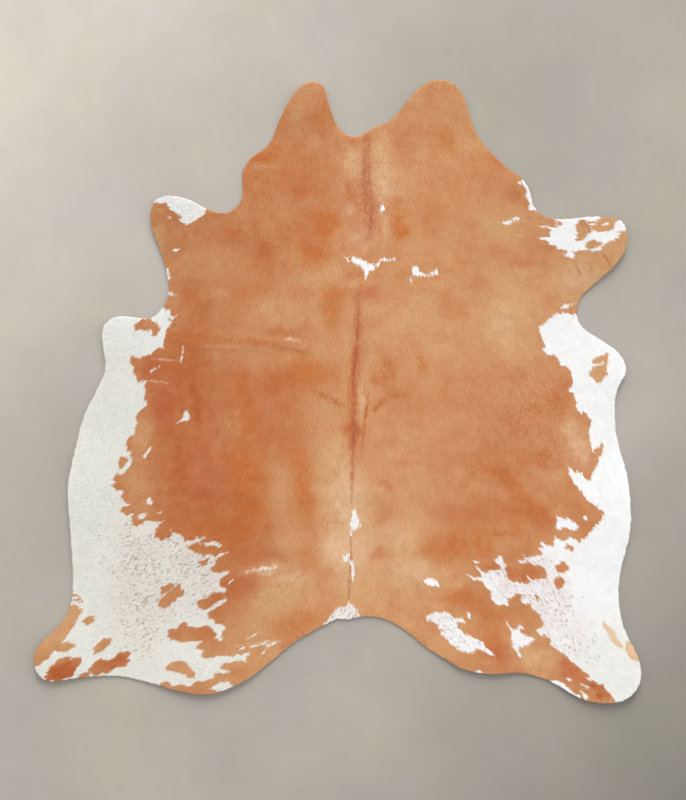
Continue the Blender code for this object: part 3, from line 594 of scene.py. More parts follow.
# Soft ovals of another shade in the brown, in the order in which they are mixed in: the shade, the middle
# (x, y), the half sizes across and along, the share in the middle and, if it isn't 0, the turn in degrees.
PATCHES = {
    "whole sides": (
        ("ruddy", -0.38, 0.0, 0.33, 0.9, 0.22), ("golden", 0.46, 0.4, 0.33, 0.33, 0.36),
        ("golden", 0.2, -0.52, 0.25, 0.33, 0.36), ("cream", 0.15, -0.48, 0.16, 0.12, 0.2),
    ),
    "neck flaps": (
        ("orange", -0.052, 0.9, 0.036, 0.036, 0.55), ("golden", -0.09, 0.99, 0.05, 0.03, 0.35),
        ("golden", -0.14, 0.925, 0.025, 0.04, 0.3, -20), ("golden", 0.3, 0.96, 0.12, 0.09, 0.32),
        ("golden", 0.45, 0.85, 0.06, 0.09, 0.4), ("orange", 0.363, 0.829, 0.028, 0.045, 0.35),
        ("ruddy", 0.3, 0.93, 0.06, 0.02, 0.2),
    ),
    "left of the neck": (
        ("orange", -0.245, 0.776, 0.055, 0.018, 0.85, 22), ("golden", -0.25, 0.74, 0.05, 0.011, 0.5, 5),
        ("ruddy", -0.15, 0.7, 0.15, 0.08, 0.3), ("ruddy", -0.115, 0.664, 0.032, 0.02, 0.55),
        ("ruddy", -0.338, 0.507, 0.046, 0.022, 0.8), ("deep", -0.235, 0.465, 0.038, 0.028, 0.75),
        ("ruddy", -0.239, 0.415, 0.034, 0.036, 0.6), ("orange", -0.03, 0.55, 0.042, 0.05, 0.8),
        ("orange", -0.08, 0.458, 0.048, 0.034, 0.78), ("ruddy", -0.14, 0.52, 0.12, 0.05, 0.3),
        ("golden", -0.012, 0.385, 0.024, 0.03, 0.7), ("orange", -0.275, 0.322, 0.055, 0.028, 0.6),
        ("ruddy", -0.14, 0.318, 0.036, 0.02, 0.7),
    ),
    "spine at the neck": (
        ("ruddy", 0.05, 0.817, 0.012, 0.02, 0.85), ("golden", 0.05, 0.75, 0.034, 0.05, 0.8),
        ("cream", 0.052, 0.758, 0.026, 0.04, 0.26), ("golden", 0.145, 0.78, 0.03, 0.06, 0.8),
        ("cream", 0.142, 0.78, 0.02, 0.05, 0.16), ("golden", 0.16, 0.695, 0.044, 0.06, 0.8, 12),
        ("cream", 0.155, 0.7, 0.034, 0.06, 0.26, 12), ("cream", 0.185, 0.65, 0.026, 0.03, 0.3),
        ("ruddy", 0.045, 0.648, 0.018, 0.034, 0.7), ("cream", 0.042, 0.59, 0.018, 0.02, 0.5),
        ("rosy", 0.082, 0.575, 0.05, 0.06, 0.4), ("cream", 0.08, 0.5, 0.04, 0.05, 0.28),
        ("cream", 0.155, 0.545, 0.014, 0.05, 0.35), ("orange", 0.19, 0.622, 0.02, 0.024, 0.5),
        ("orange", 0.204, 0.54, 0.026, 0.04, 0.78), ("ruddy", 0.037, 0.376, 0.015, 0.014, 0.6),
        ("ruddy", 0.075, 0.377, 0.01, 0.014, 0.7), ("golden", 0.055, 0.35, 0.04, 0.014, 0.6),
        ("deep red", 0.105, 0.318, 0.036, 0.026, 0.7), ("orange", 0.0, 0.325, 0.034, 0.02, 0.6),
    ),
    "right of the neck": (
        ("ruddy", 0.306, 0.565, 0.03, 0.055, 0.4), ("ruddy", 0.4, 0.6, 0.12, 0.06, 0.15),
        ("ruddy", 0.532, 0.755, 0.04, 0.018, 0.55, -42), ("ruddy", 0.586, 0.647, 0.02, 0.03, 0.5),
        ("golden", 0.52, 0.56, 0.07, 0.05, 0.45), ("ruddy", 0.53, 0.453, 0.034, 0.024, 0.55),
        ("deep red", 0.598, 0.42, 0.044, 0.018, 0.95), ("ruddy", 0.68, 0.47, 0.05, 0.03, 0.35),
        ("orange", 0.425, 0.425, 0.02, 0.016, 0.4), ("ruddy", 0.462, 0.355, 0.03, 0.024, 0.5),
        ("orange", 0.207, 0.375, 0.024, 0.03, 0.45),
    ),
    "right foreleg": (
        ("golden", 0.86, 0.4, 0.12, 0.08, 0.8, 30), ("cream", 0.78, 0.37, 0.07, 0.04, 0.35, 30),
        ("golden", 0.88, 0.53, 0.09, 0.06, 0.7), ("orange", 0.685, 0.29, 0.03, 0.02, 0.35),
        ("golden", 0.57, 0.37, 0.08, 0.08, 0.45), ("golden", 0.86, 0.07, 0.06, 0.07, 0.8),
    ),
    "left elbow": (
        ("golden", -0.42, 0.42, 0.11, 0.06, 0.35), ("ruddy", -0.56, 0.56, 0.06, 0.06, 0.25),
        ("ruddy", -0.486, 0.326, 0.032, 0.034, 0.5), ("ruddy", -0.445, 0.27, 0.032, 0.04, 0.55),
        ("ruddy", -0.338, 0.276, 0.04, 0.04, 0.45), ("golden", -0.387, 0.315, 0.024, 0.018, 0.5),
        ("ruddy", -0.52, 0.165, 0.06, 0.03, 0.6, -5), ("deep", -0.594, 0.068, 0.06, 0.03, 0.6),
        ("deep red", -0.575, 0.06, 0.06, 0.05, 0.4), ("golden", -0.4, 0.115, 0.014, 0.014, 0.6),
    ),
    "left ribs": (
        ("golden", -0.19, 0.255, 0.12, 0.07, 0.6), ("golden", -0.08, 0.36, 0.08, 0.03, 0.5),
        ("golden", -0.074, 0.26, 0.018, 0.06, 0.35), ("orange", -0.018, 0.275, 0.026, 0.062, 0.75),
        ("ruddy", -0.18, 0.192, 0.055, 0.014, 0.5), ("ruddy", -0.104, 0.218, 0.014, 0.022, 0.5),
        ("golden", -0.26, 0.09, 0.06, 0.03, 0.35), ("ruddy", -0.21, 0.015, 0.036, 0.024, 0.75),
        ("orange", -0.115, 0.055, 0.062, 0.038, 0.8), ("ruddy", -0.19, 0.04, 0.05, 0.04, 0.55),
        ("golden", -0.3, 0.12, 0.035, 0.02, 0.4), ("golden", -0.04, 0.13, 0.06, 0.03, 0.4),
        ("ruddy", -0.17, -0.06, 0.05, 0.024, 0.4), ("orange", -0.318, 0.035, 0.022, 0.05, 0.6),
        ("ruddy", -0.22, -0.15, 0.07, 0.04, 0.35), ("rosy", -0.34, 0.0, 0.12, 0.12, 0.3),
        ("rosy", -0.17, -0.12, 0.15, 0.11, 0.28), ("orange", -0.3, -0.08, 0.024, 0.065, 0.75),
        ("orange", -0.34, -0.225, 0.044, 0.026, 0.75), ("orange", -0.305, -0.33, 0.068, 0.135, 0.8),
        ("orange", -0.28, -0.4, 0.05, 0.06, 0.45), ("orange", -0.112, -0.31, 0.034, 0.125, 0.8, 8),
        ("golden", -0.195, -0.34, 0.026, 0.1, 0.4),
    ),
    "left flank": (
        ("ruddy", -0.5, -0.06, 0.11, 0.19, 0.55), ("ruddy", -0.545, -0.27, 0.07, 0.17, 0.6),
        ("rosy", -0.43, -0.28, 0.08, 0.16, 0.55), ("orange", -0.42, -0.48, 0.16, 0.07, 0.4),
        ("deep", -0.577, -0.053, 0.03, 0.04, 0.5), ("deep red", -0.575, -0.05, 0.045, 0.07, 0.4),
        ("deep", -0.468, -0.045, 0.016, 0.07, 0.75), ("deep", -0.475, 0.11, 0.04, 0.08, 0.35),
        ("deep", -0.52, 0.02, 0.016, 0.08, 0.35), ("deep", -0.52, -0.24, 0.022, 0.1, 0.5),
        ("deep", -0.48, -0.37, 0.09, 0.06, 0.3), ("deep", -0.34, -0.455, 0.08, 0.04, 0.25),
        ("ruddy", -0.215, -0.467, 0.03, 0.036, 0.6), ("deep", -0.206, -0.543, 0.03, 0.018, 0.75),
        ("ruddy", -0.3, -0.54, 0.08, 0.05, 0.6), ("golden", -0.65, -0.15, 0.028, 0.06, 0.65, -10),
        ("golden", -0.59, 0.5, 0.022, 0.06, 0.6), ("golden", -0.66, -0.3, 0.035, 0.06, 0.45),
        ("golden", -0.65, -0.4, 0.05, 0.03, 0.4),
    ),
    "left rump": (
        ("orange", -0.312, -0.652, 0.06, 0.04, 0.95), ("deep red", -0.31, -0.655, 0.045, 0.036, 0.6),
        ("deep", -0.322, -0.648, 0.05, 0.032, 0.8), ("ruddy", -0.4, -0.7, 0.06, 0.04, 0.55, 25),
        ("golden", -0.215, -0.7, 0.085, 0.065, 0.85), ("cream", -0.157, -0.62, 0.055, 0.028, 0.45),
        ("cream", -0.24, -0.592, 0.05, 0.012, 0.6, 10), ("golden", -0.11, -0.68, 0.07, 0.05, 0.45),
        ("golden", -0.16, -0.49, 0.05, 0.07, 0.45), ("orange", -0.105, -0.55, 0.03, 0.04, 0.35),
        ("orange", -0.135, -0.765, 0.09, 0.032, 0.48, 20),
        ("golden", -0.34, -0.92, 0.12, 0.07, 0.6, 20), ("golden", -0.28, -0.8, 0.07, 0.05, 0.5, 20),
        ("golden", -0.53, -0.9, 0.08, 0.06, 0.6), ("ruddy", -0.44, -0.8, 0.05, 0.02, 0.35),
        ("orange", -0.325, -0.928, 0.045, 0.02, 0.4, 12),
    ),
    "left foot": (
        ("golden", -0.9, -0.78, 0.06, 0.12, 0.8, -35), ("deep", -0.905, -0.925, 0.06, 0.036, 0.85, 20),
        ("deep", -0.745, -0.9, 0.07, 0.034, 0.6, 20),
    ),
    "loin and croup": (
        ("golden", -0.02, -0.24, 0.055, 0.16, 0.8), ("golden", -0.05, -0.06, 0.07, 0.05, 0.35),
        ("cream", 0.03, -0.35, 0.045, 0.1, 0.55), ("cream", 0.07, -0.38, 0.03, 0.07, 0.45),
        ("golden", 0.085, -0.33, 0.026, 0.12, 0.45), ("cream", -0.01, -0.52, 0.04, 0.06, 0.6),
        ("cream", 0.05, -0.56, 0.045, 0.1, 0.45), ("golden", 0.07, -0.66, 0.06, 0.07, 0.6),
        ("ruddy", -0.03, -0.6, 0.03, 0.016, 0.28), ("cream", 0.082, -0.03, 0.01, 0.045, 0.6),
        ("golden", 0.128, -0.11, 0.022, 0.06, 0.5), ("golden", 0.1, 0.06, 0.012, 0.1, 0.45),
        ("golden", 0.03, 0.06, 0.014, 0.13, 0.45), ("ruddy", 0.045, -0.13, 0.044, 0.02, 0.65),
    ),
    "right ribs": (
        ("golden", 0.27, 0.22, 0.2, 0.13, 0.35), ("golden", 0.537, 0.21, 0.06, 0.07, 0.6),
        ("cream", 0.56, 0.23, 0.06, 0.09, 0.26), ("golden", 0.62, 0.29, 0.06, 0.06, 0.55),
        ("rosy", 0.35, -0.13, 0.24, 0.16, 0.22), ("cream", 0.24, -0.2, 0.12, 0.06, 0.14),
        ("ruddy", 0.165, 0.065, 0.022, 0.06, 0.55), ("ruddy", 0.124, 0.033, 0.014, 0.014, 0.45),
        ("orange", 0.28, 0.086, 0.011, 0.02, 0.7), ("ruddy", 0.355, 0.285, 0.026, 0.04, 0.4),
        ("ruddy", 0.405, 0.268, 0.03, 0.026, 0.35), ("ruddy", 0.58, 0.05, 0.06, 0.024, 0.3),
        ("ruddy", 0.725, -0.045, 0.04, 0.046, 0.6), ("ruddy", 0.66, -0.06, 0.026, 0.026, 0.55),
        ("ruddy", 0.742, 0.03, 0.02, 0.02, 0.45), ("ruddy", 0.685, -0.225, 0.034, 0.028, 0.75),
        ("ruddy", 0.71, -0.165, 0.02, 0.03, 0.55), ("ruddy", 0.62, -0.22, 0.034, 0.026, 0.4),
        ("cream", 0.778, -0.165, 0.022, 0.06, 0.55, 10), ("cream", 0.815, -0.2, 0.022, 0.05, 0.4),
        ("ruddy", 0.207, -0.24, 0.045, 0.02, 0.3), ("ruddy", 0.157, -0.31, 0.022, 0.018, 0.5),
        ("ruddy", 0.154, -0.41, 0.022, 0.036, 0.42),
    ),
    "right flank": (
        ("ruddy", 0.52, -0.24, 0.08, 0.05, 0.4, -20), ("ruddy", 0.55, -0.285, 0.06, 0.028, 0.75, -32),
        ("orange", 0.612, -0.365, 0.05, 0.03, 0.75, -62), ("ruddy", 0.66, -0.405, 0.05, 0.03, 0.6, -30),
        ("ruddy", 0.68, -0.425, 0.04, 0.026, 0.6, -20), ("ruddy", 0.53, -0.4, 0.09, 0.05, 0.5),
        ("rosy", 0.4, -0.4, 0.11, 0.03, 0.5), ("ruddy", 0.79, -0.4, 0.05, 0.05, 0.3),
        ("golden", 0.256, -0.445, 0.04, 0.06, 0.5), ("orange", 0.35, -0.522, 0.08, 0.052, 0.72),
        ("ruddy", 0.405, -0.5, 0.034, 0.034, 0.4), ("orange", 0.482, -0.508, 0.034, 0.04, 0.6),
        ("orange", 0.535, -0.474, 0.05, 0.012, 0.6), ("ruddy", 0.142, -0.535, 0.026, 0.022, 0.6, -20),
        ("ruddy", 0.503, -0.575, 0.024, 0.016, 0.8), ("ruddy", 0.6, -0.6, 0.06, 0.022, 0.6),
    ),
    "right rump": (
        ("golden", 0.37, -0.625, 0.06, 0.03, 0.55), ("golden", 0.23, -0.59, 0.07, 0.07, 0.35),
        ("cream", 0.25, -0.6, 0.07, 0.04, 0.4), ("cream", 0.2, -0.48, 0.06, 0.04, 0.2),
        ("orange", 0.4, -0.688, 0.056, 0.03, 0.72), ("ruddy", 0.495, -0.73, 0.04, 0.036, 0.6),
        ("ruddy", 0.59, -0.735, 0.06, 0.026, 0.4), ("orange", 0.515, -0.815, 0.034, 0.04, 0.6),
        ("deep", 0.545, -0.862, 0.046, 0.024, 0.98, -22), ("golden", 0.33, -0.705, 0.05, 0.014, 0.5),
        ("golden", 0.35, -0.84, 0.08, 0.03, 0.45, -35),
        ("golden", 0.655, -0.875, 0.09, 0.045, 0.85, -20),
        ("cream", 0.65, -0.87, 0.06, 0.034, 0.2, -20),
        ("deep red", 0.765, -0.925, 0.04, 0.026, 0.52, -45),
        ("deep", 0.862, -0.983, 0.04, 0.022, 0.95, -35), ("cream", 0.975, -0.86, 0.045, 0.05, 0.95),
    ),
}

# Ovals where brown hairs stand one by one in the white, with the same columns after the name.
FLECKS = {
    "left flank": (-0.585, -0.57, 0.15, 0.11, 0.5, -20), "left thigh": (-0.48, -0.6, 0.09, 0.11, 0.42),
    "left hind": (-0.63, -0.69, 0.11, 0.08, 0.34), "left hock": (-0.65, -0.79, 0.1, 0.1, 0.22),
    "right hind": (0.66, -0.69, 0.13, 0.085, 0.5, -40),
    "right leg": (0.75, -0.8, 0.12, 0.07, 0.28, -45), "right flank": (0.6, -0.6, 0.12, 0.06, 0.38),
    "right rump": (0.4, -0.8, 0.12, 0.06, 0.34, -40), "right star": (0.595, -0.81, 0.04, 0.06, 0.2),
    "tail head": (0.03, -0.74, 0.06, 0.03, 0.44), "croup": (0.03, -0.56, 0.05, 0.12, 0.12),
}

# Ovals where single paler hairs show in the brown.
LOOSE = {
    "right flank": (0.7, -0.04, 0.13, 0.23, 1.0, 10), "right ribs": (0.56, 0.02, 0.09, 0.2, 0.5),
    "neck": (0.11, 0.69, 0.085, 0.15, 1.0), "left flank": (-0.64, -0.2, 0.05, 0.18, 0.6),
}

# The way the hair lies at a place (x, y): 0 degrees is towards +X, and -90 is towards the tail.
HEADINGS = {
    "neck": (0.08, 0.82, -90), "withers": (0.07, 0.45, -90), "back": (0.055, 0.1, -90),
    "loin": (0.05, -0.25, -90), "croup": (0.045, -0.52, -90), "tail head": (0.035, -0.7, -90),
    "left neck flap": (-0.11, 0.94, -97), "right neck flap": (0.33, 0.94, -83),
    "left neck": (-0.24, 0.72, -104), "left shoulder": (-0.4, 0.48, -125),
    "left foreleg": (-0.56, 0.59, -175), "left elbow": (-0.5, 0.3, -130),
    "left chest": (-0.25, 0.28, -108), "left ribs": (-0.28, -0.08, -106),
    "left flank": (-0.48, -0.06, -122), "left belly upper": (-0.62, 0.1, -135),
    "left belly edge": (-0.78, 0.06, -140), "left belly": (-0.69, -0.24, -135),
    "left belly tuft": (-0.735, -0.315, -166), "left side": (-0.83, -0.35, -135),
    "left stifle": (-0.59, -0.43, -146), "left thigh": (-0.4, -0.48, -152),
    "left hind flank": (-0.42, -0.68, -157), "left rump": (-0.2, -0.62, -130),
    "left rump edge": (-0.36, -0.92, -158), "left hind": (-0.62, -0.72, -150),
    "left hock": (-0.78, -0.85, -145), "left foot": (-0.94, -0.9, -145),
    "right neck": (0.44, 0.76, -78), "right shoulder": (0.56, 0.48, -50),
    "right foreleg": (0.8, 0.52, -8), "right toe": (0.9, 0.45, -25), "right elbow": (0.76, 0.29, -45),
    "right chest": (0.38, 0.3, -76), "right ribs": (0.38, -0.08, -74), "right flank": (0.6, -0.06, -64),
    "right belly upper": (0.76, 0.08, -60), "right belly edge": (0.9, 0.06, -58),
    "right belly": (0.805, -0.15, -72), "right belly low": (0.83, -0.26, -62),
    "right side": (0.91, -0.4, -60), "right stifle": (0.64, -0.34, -56),
    "right thigh": (0.45, -0.44, -58), "right hind flank": (0.56, -0.6, -36),
    "right rump": (0.26, -0.64, -62), "right rump edge": (0.48, -0.86, -42),
    "right hind": (0.7, -0.76, -45), "right hock": (0.84, -0.88, -45), "right foot": (0.93, -0.96, -48),
}

# Low ridges that the skin keeps from being folded: (x, y, width) along each, and its height.
CREASES = {
    "left flank": (((-0.5, 0.153, 0.016), (-0.3, 0.158, 0.02), (-0.11, 0.15, 0.012)), 0.0007),
    "right chest": (((0.54, 0.262, 0.014), (0.64, 0.266, 0.016), (0.72, 0.255, 0.01)), 0.0006),
    "loin": (((-0.42, -0.33, 0.016), (-0.12, -0.345, 0.02), (0.24, -0.335, 0.014)), 0.0005),
    "right rump": (((0.12, -0.3, 0.016), (0.24, -0.52, 0.02), (0.3, -0.7, 0.012)), 0.0006),
    "foreleg fold": (((0.814, 0.568, 0.014), (0.836, 0.521, 0.016), (0.85, 0.47, 0.01)), 0.0012),
}

# ---------------------------------------------------------------------------------------------
# Fields and noise

NOISE_CELLS = 512
NOISE_START = 40.0  # keeps the lattice's own coordinates above zero

# Sums of noise, as rows of (size of the hills, strength, seed).
NOISES = {
    "waves": ((0.26, 0.0007, 11), (0.11, 0.0004, 12)),
    "redness": ((0.11, 0.8, 21), (0.045, 1, 22), (0.018, 0.7, 23), (0.008, 0.4, 33)),
    "patch x": ((0.04, 0.01, 24), (0.014, 0.006, 25)),
    "patch y": ((0.04, 0.01, 26), (0.014, 0.006, 27)),
    "patch strength": ((0.022, 0.36, 28), (0.006, 0.3, 34)),
    "line strength": ((0.014, 0.5, 30), (0.005, 0.3, 35)),
    "yellowing": ((0.08, 1, 31), (0.03, 0.5, 32)),
    "dot share": ((0.045, 0.25, 42),),
    "ragged x": ((0.011, 1, 51), (0.005, 0.5, 52)),
    "ragged y": ((0.011, 1, 53), (0.005, 0.5, 54)),
    "heading": ((0.07, 9, 61), (0.022, 6, 62)),
    "tufts": ((0.008, 0.004, 71), (0.004, 0.002, 72)),
}
STREAK_NOISE = (0.005, 29)  # noise drawn out along the spine: its size and seed
DOT_SEED = 41
COAT_SEED = 7


def noise(x, y, size, seed):
    """Smooth seeded noise from -1 to 1, with hills and hollows about `size` wide."""
    lattice = np.random.default_rng(seed).uniform(-1.0, 1.0, (NOISE_CELLS, NOISE_CELLS))
    u = x / size + NOISE_START
    v = y / size + NOISE_START
    column = np.floor(u).astype(int)
    row = np.floor(v).astype(int)
    u = u - column
    v = v - row
    u = u * u * (3 - 2 * u)
    v = v * v * (3 - 2 * v)
    left, right = column % NOISE_CELLS, (column + 1) % NOISE_CELLS
    near, far = row % NOISE_CELLS, (row + 1) % NOISE_CELLS
    low = lattice[near, left] * (1 - u) + lattice[near, right] * u
    high = lattice[far, left] * (1 - u) + lattice[far, right] * u
    return low * (1 - v) + high * v


def noises(x, y, name):
    """The sum of noise that has this name in NOISES."""
    return sum(strength * noise(x, y, size, seed) for size, strength, seed in NOISES[name])


def nearest_on_segment(x, y, start, end):
    """How far along a segment its nearest place to each point is, and the distance to it, squared."""
    run, rise = end[0] - start[0], end[1] - start[1]
    across, along = x - start[0], y - start[1]
    share = np.clip((across * run + along * rise) / (run * run + rise * rise), 0, 1)
    return share, (across - share * run) ** 2 + (along - share * rise) ** 2


def inside_distance(x, y, corners):
    """Distance from points to a closed outline: above zero inside it and below zero outside."""
    nearest = np.full(x.shape, np.inf)
    inside = np.zeros(x.shape, bool)
    for start, end in zip(corners, corners[1:] + corners[:1]):
        nearest = np.minimum(nearest, nearest_on_segment(x, y, start, end)[1])
        (ax, ay), (bx, by) = start, end
        if ay != by:
            inside ^= ((ay > y) != (by > y)) & (x < ax + (bx - ax) * (y - ay) / (by - ay))
    return np.sqrt(nearest) * np.where(inside, 1, -1)


def line_distance(x, y, points):
    """Distance inside a tapering line (above zero) or outside it (below zero)."""
    best = np.full(x.shape, -np.inf)
    for start, end in zip(points, points[1:]):
        share, squared = nearest_on_segment(x, y, start, end)
        width = start[2] + (end[2] - start[2]) * share
        best = np.maximum(best, width / 2 - np.sqrt(squared))
    return best


def near_shape(x, y, points, margin):
    """Which points lie within `margin` of the box round a shape."""
    low, high = np.min(points, axis=0) - margin, np.max(points, axis=0) + margin
    return (x > low[0]) & (x < high[0]) & (y > low[1]) & (y < high[1])


def oval_share(x, y, middle_x, middle_y, across, along, share, turn=0):
    """The share of a soft oval at each point: `share` in its middle, falling to nothing outside it."""
    turn = radians(turn)
    u = ((x - middle_x) * cos(turn) + (y - middle_y) * sin(turn)) / across
    v = ((y - middle_y) * cos(turn) - (x - middle_x) * sin(turn)) / along
    return share * (1 / (1 + (u * u + v * v) ** 2))


def smoothed(values, axis):
    """Each value averaged with its two neighbours along an axis."""
    return (np.roll(values, 1, axis) + 2 * values + np.roll(values, -1, axis)) / 4


class Map:
    """Values on an even grid over the hide, read anywhere by bilinear interpolation."""

    def __init__(self, low, high, step):
        self.low, self.step = low, step
        self.x, self.y = np.meshgrid(
            np.arange(low[0], high[0] + step, step), np.arange(low[1], high[1] + step, step)
        )
        self.values = None

    def __call__(self, x, y):
        rows, columns = self.values.shape
        u = np.clip((x - self.low[0]) / self.step, 0, columns - 1.001)
        v = np.clip((y - self.low[1]) / self.step, 0, rows - 1.001)
        column, row = u.astype(int), v.astype(int)
        u, v = u - column, v - row
        near = self.values[row, column] * (1 - u) + self.values[row, column + 1] * u
        far = self.values[row + 1, column] * (1 - u) + self.values[row + 1, column + 1] * u
        return near * (1 - v) + far * v


# ---------------------------------------------------------------------------------------------
# What the frame says about the hide

STEEP = 0.5  # faces of the node that look down have a normal below minus this
SAME_PLACE = 1e-5  # corners nearer to each other than this are one
OUTLINE_ROUNDS = 3  # of smoothing
UNDERSIDE_ROUNDS = 4


def cowhide_shape(node):
    """The CAD node's mesh with its split corners joined again."""
    shape = bmesh.new()
    shape.from_mesh(node.data)
    bmesh.ops.remove_doubles(shape, verts=shape.verts, dist=SAME_PLACE)
    shape.normal_update()
    return shape


def cut_outline(shape):
    """The outline of the node's underside, as a closed row of evenly spaced points."""
    links = {}
    for edge in shape.edges:
        down = [face.normal.z < -STEEP for face in edge.link_faces]
        if len(down) == 2 and down[0] != down[1]:
            one, two = edge.verts
            links.setdefault(one, []).append(two)
            links.setdefault(two, []).append(one)
    start = min(links, key=lambda corner: (corner.co.y, corner.co.x))
    loop, before = [start], None
    while True:
        ahead = [corner for corner in links[loop[-1]] if corner is not before]
        before = loop[-1]
        if ahead[0] is start:
            break
        loop.append(ahead[0])
    rough = np.array([corner.co[:2] for corner in loop])
    closed = np.vstack([rough, rough[:1]])
    walked = np.concatenate([[0], np.cumsum(np.hypot(*np.diff(closed, axis=0).T))])
    stations = np.linspace(0, walked[-1], round(walked[-1] / RIM_STEP), endpoint=False)
    even = np.stack([np.interp(stations, walked, closed[:, axis]) for axis in (0, 1)], axis=1)
    for _ in range(OUTLINE_ROUNDS):
        even = smoothed(even, 0)
    return even


def underside_map(shape, low, high):
    """Height of the node's underside above the floor, spread a little past its edge."""
    faces = [face for face in shape.faces if face.normal.z < -STEEP]
    tree = BVHTree.FromPolygons(
        [corner.co for corner in shape.verts],
        [[corner.index for corner in face.verts] for face in faces],
    )
    height = Map(low, high, 2 * MAP_STEP)
    height.values = np.array([
        tree.find_nearest(Vector((x, y, 0.0)))[0].z
        for x, y in zip(height.x.ravel(), height.y.ravel())
    ]).reshape(height.x.shape)
    for _ in range(UNDERSIDE_ROUNDS):
        height.values = smoothed(smoothed(height.values, 0), 1)
    return height


def relief(x, y):
    """Low waves and creases of the skin on the floor, never below zero."""
    waves = MEAN_HEIGHT + noises(x, y, "waves")
    for line, height in CREASES.values():
        width = max(point[2] for point in line)
        near = np.clip(1 + line_distance(x, y, line) / width, 0, 1)
        waves = waves + height * near * near * (3 - 2 * near)
    return np.maximum(waves, 0.0)


# ---------------------------------------------------------------------------------------------
# The markings as colours

# The groups of marks in the order in which they are laid over each other: what their distance is
# measured with, whether they are white, and how much wider they are than drawn.
MARKS = (
    (WHITE_FIELDS, inside_distance, True, 0.0),
    (BROWN_ISLETS, inside_distance, False, 0.0),
    (WHITE_SPOTS, inside_distance, True, -SPOT_INSET),
    (WHITE_LINES, line_distance, True, WHITE_INSET),
    (BROWN_LINES, line_distance, False, 0.0),
)
MOTTLES = {"ruddy": 0.34, "golden": -0.38}  # how strongly redder and paler brown hair differs
MOTTLE_MOST = 0.7
PATCH_MEAN, LINE_MEAN = 1.05, 0.95  # mean strength of a patch or line against its share
STREAK_STRENGTH, STREAK_LENGTH = 0.5, 4
LINE_REACH = 0.05
YELLOWED = 0.04  # most of the cream shade in the white
ROSY, ROSY_MOST = 0.8, 0.32  # the rosy skin that shows where the dots are
FOOT = (0.90, -0.90, 0.13)  # the duller end of the right hind leg: its middle and its reach
DOT_GAIN, DOT_LOSS = 3.2, 0.24  # share of the dots that show, from the share in FLECKS
DOT_LENGTH = 0.8  # distances along the spine count this much, so a dot is longer that way
DOT_STRENGTH = (0.44, 0.52)  # the faintest dot, and how much stronger one may be
RIGHT_SIDE, RIGHT_DOTS = 0.2, 0.75  # dots right of here are this much as strong
PALE_STRIP = 0.85
PAINTED_LEFT_SHADE = 0.065  # painted shade: how much darker the hide's left side is painted
HEADING_BLUR, HEADING_POWER = 0.03, -1.6  # how a heading's weight falls with the distance to it


def white_depth(x, y):
    """How deep points lie in the white hair: metres, above zero in it and below zero outside."""
    depth = np.full(x.shape, -1.0)
    for shapes, distance, white, wider in MARKS:
        for points in shapes.values():
            near = near_shape(x, y, points, MARGIN)
            inside = distance(x[near], y[near], points) + wider
            if white:
                depth[near] = np.maximum(depth[near], inside)
            else:
                depth[near] = np.minimum(depth[near], -inside)
    return depth - WHITE_INSET


def mix(colour, shade, share):
    """Colours with a share of a named shade mixed in."""
    return colour + (PAINT[shade] - colour) * share[:, None]


def brown_colours(x, y):
    """The brown hair's shade at each point: mottling, patches and the lines of another shade."""
    colour = np.tile(PAINT["tan"], (len(x), 1))
    redder = noises(x, y, "redness")
    for shade, strength in MOTTLES.items():
        colour = mix(colour, shade, np.clip(strength * redder, 0, MOTTLE_MOST))
    u = x + noises(x, y, "patch x")
    v = y + noises(x, y, "patch y")
    uneven = PATCH_MEAN + noises(x, y, "patch strength")
    for patches in PATCHES.values():
        for shade, *oval in patches:
            colour = mix(colour, shade, np.clip(oval_share(u, v, *oval) * uneven, 0, 1))
    broken = LINE_MEAN + STREAK_STRENGTH * noise(x, y / STREAK_LENGTH, *STREAK_NOISE)
    broken = broken + noises(x, y, "line strength")
    for shade, soft, most, points in TINGES.values():
        near = near_shape(x, y, points, LINE_REACH)
        depth = line_distance(x[near], y[near], points)
        share = np.clip(0.5 + depth / soft, 0, 1) * most * broken[near]
        colour[near] = mix(colour[near], shade, np.clip(share, 0, 1))
    return colour


def white_colours(x, y):
    """The white hair's shade: painted shade on the left, faintly yellowed, rosy round the dots, dull at a
    foot.
    """
    # painted shade: how much the white is painted greyer, most on the left and on the tail half
    left = np.clip(0.5 - x / 0.5, 0, 1) * np.clip(1.0 - 2.0 * y, 0.4, 1)
    warm = np.clip(0.5 + noises(x, y, "yellowing"), 0, 1)
    skin = sum(oval_share(x, y, *oval) for oval in FLECKS.values())
    foot = np.clip(1.6 - np.hypot(x - FOOT[0], y - FOOT[1]) / FOOT[2], 0, 1)
    colour = np.tile(PAINT["white"], (len(x), 1))
    colour = mix(colour, "left white in painted shade", left)
    colour = mix(colour, "cream", YELLOWED * warm)
    colour = mix(colour, "rosy white", np.clip(ROSY * skin, 0, ROSY_MOST) * (0.5 + 0.5 * warm))
    return mix(colour, "foot white", foot)


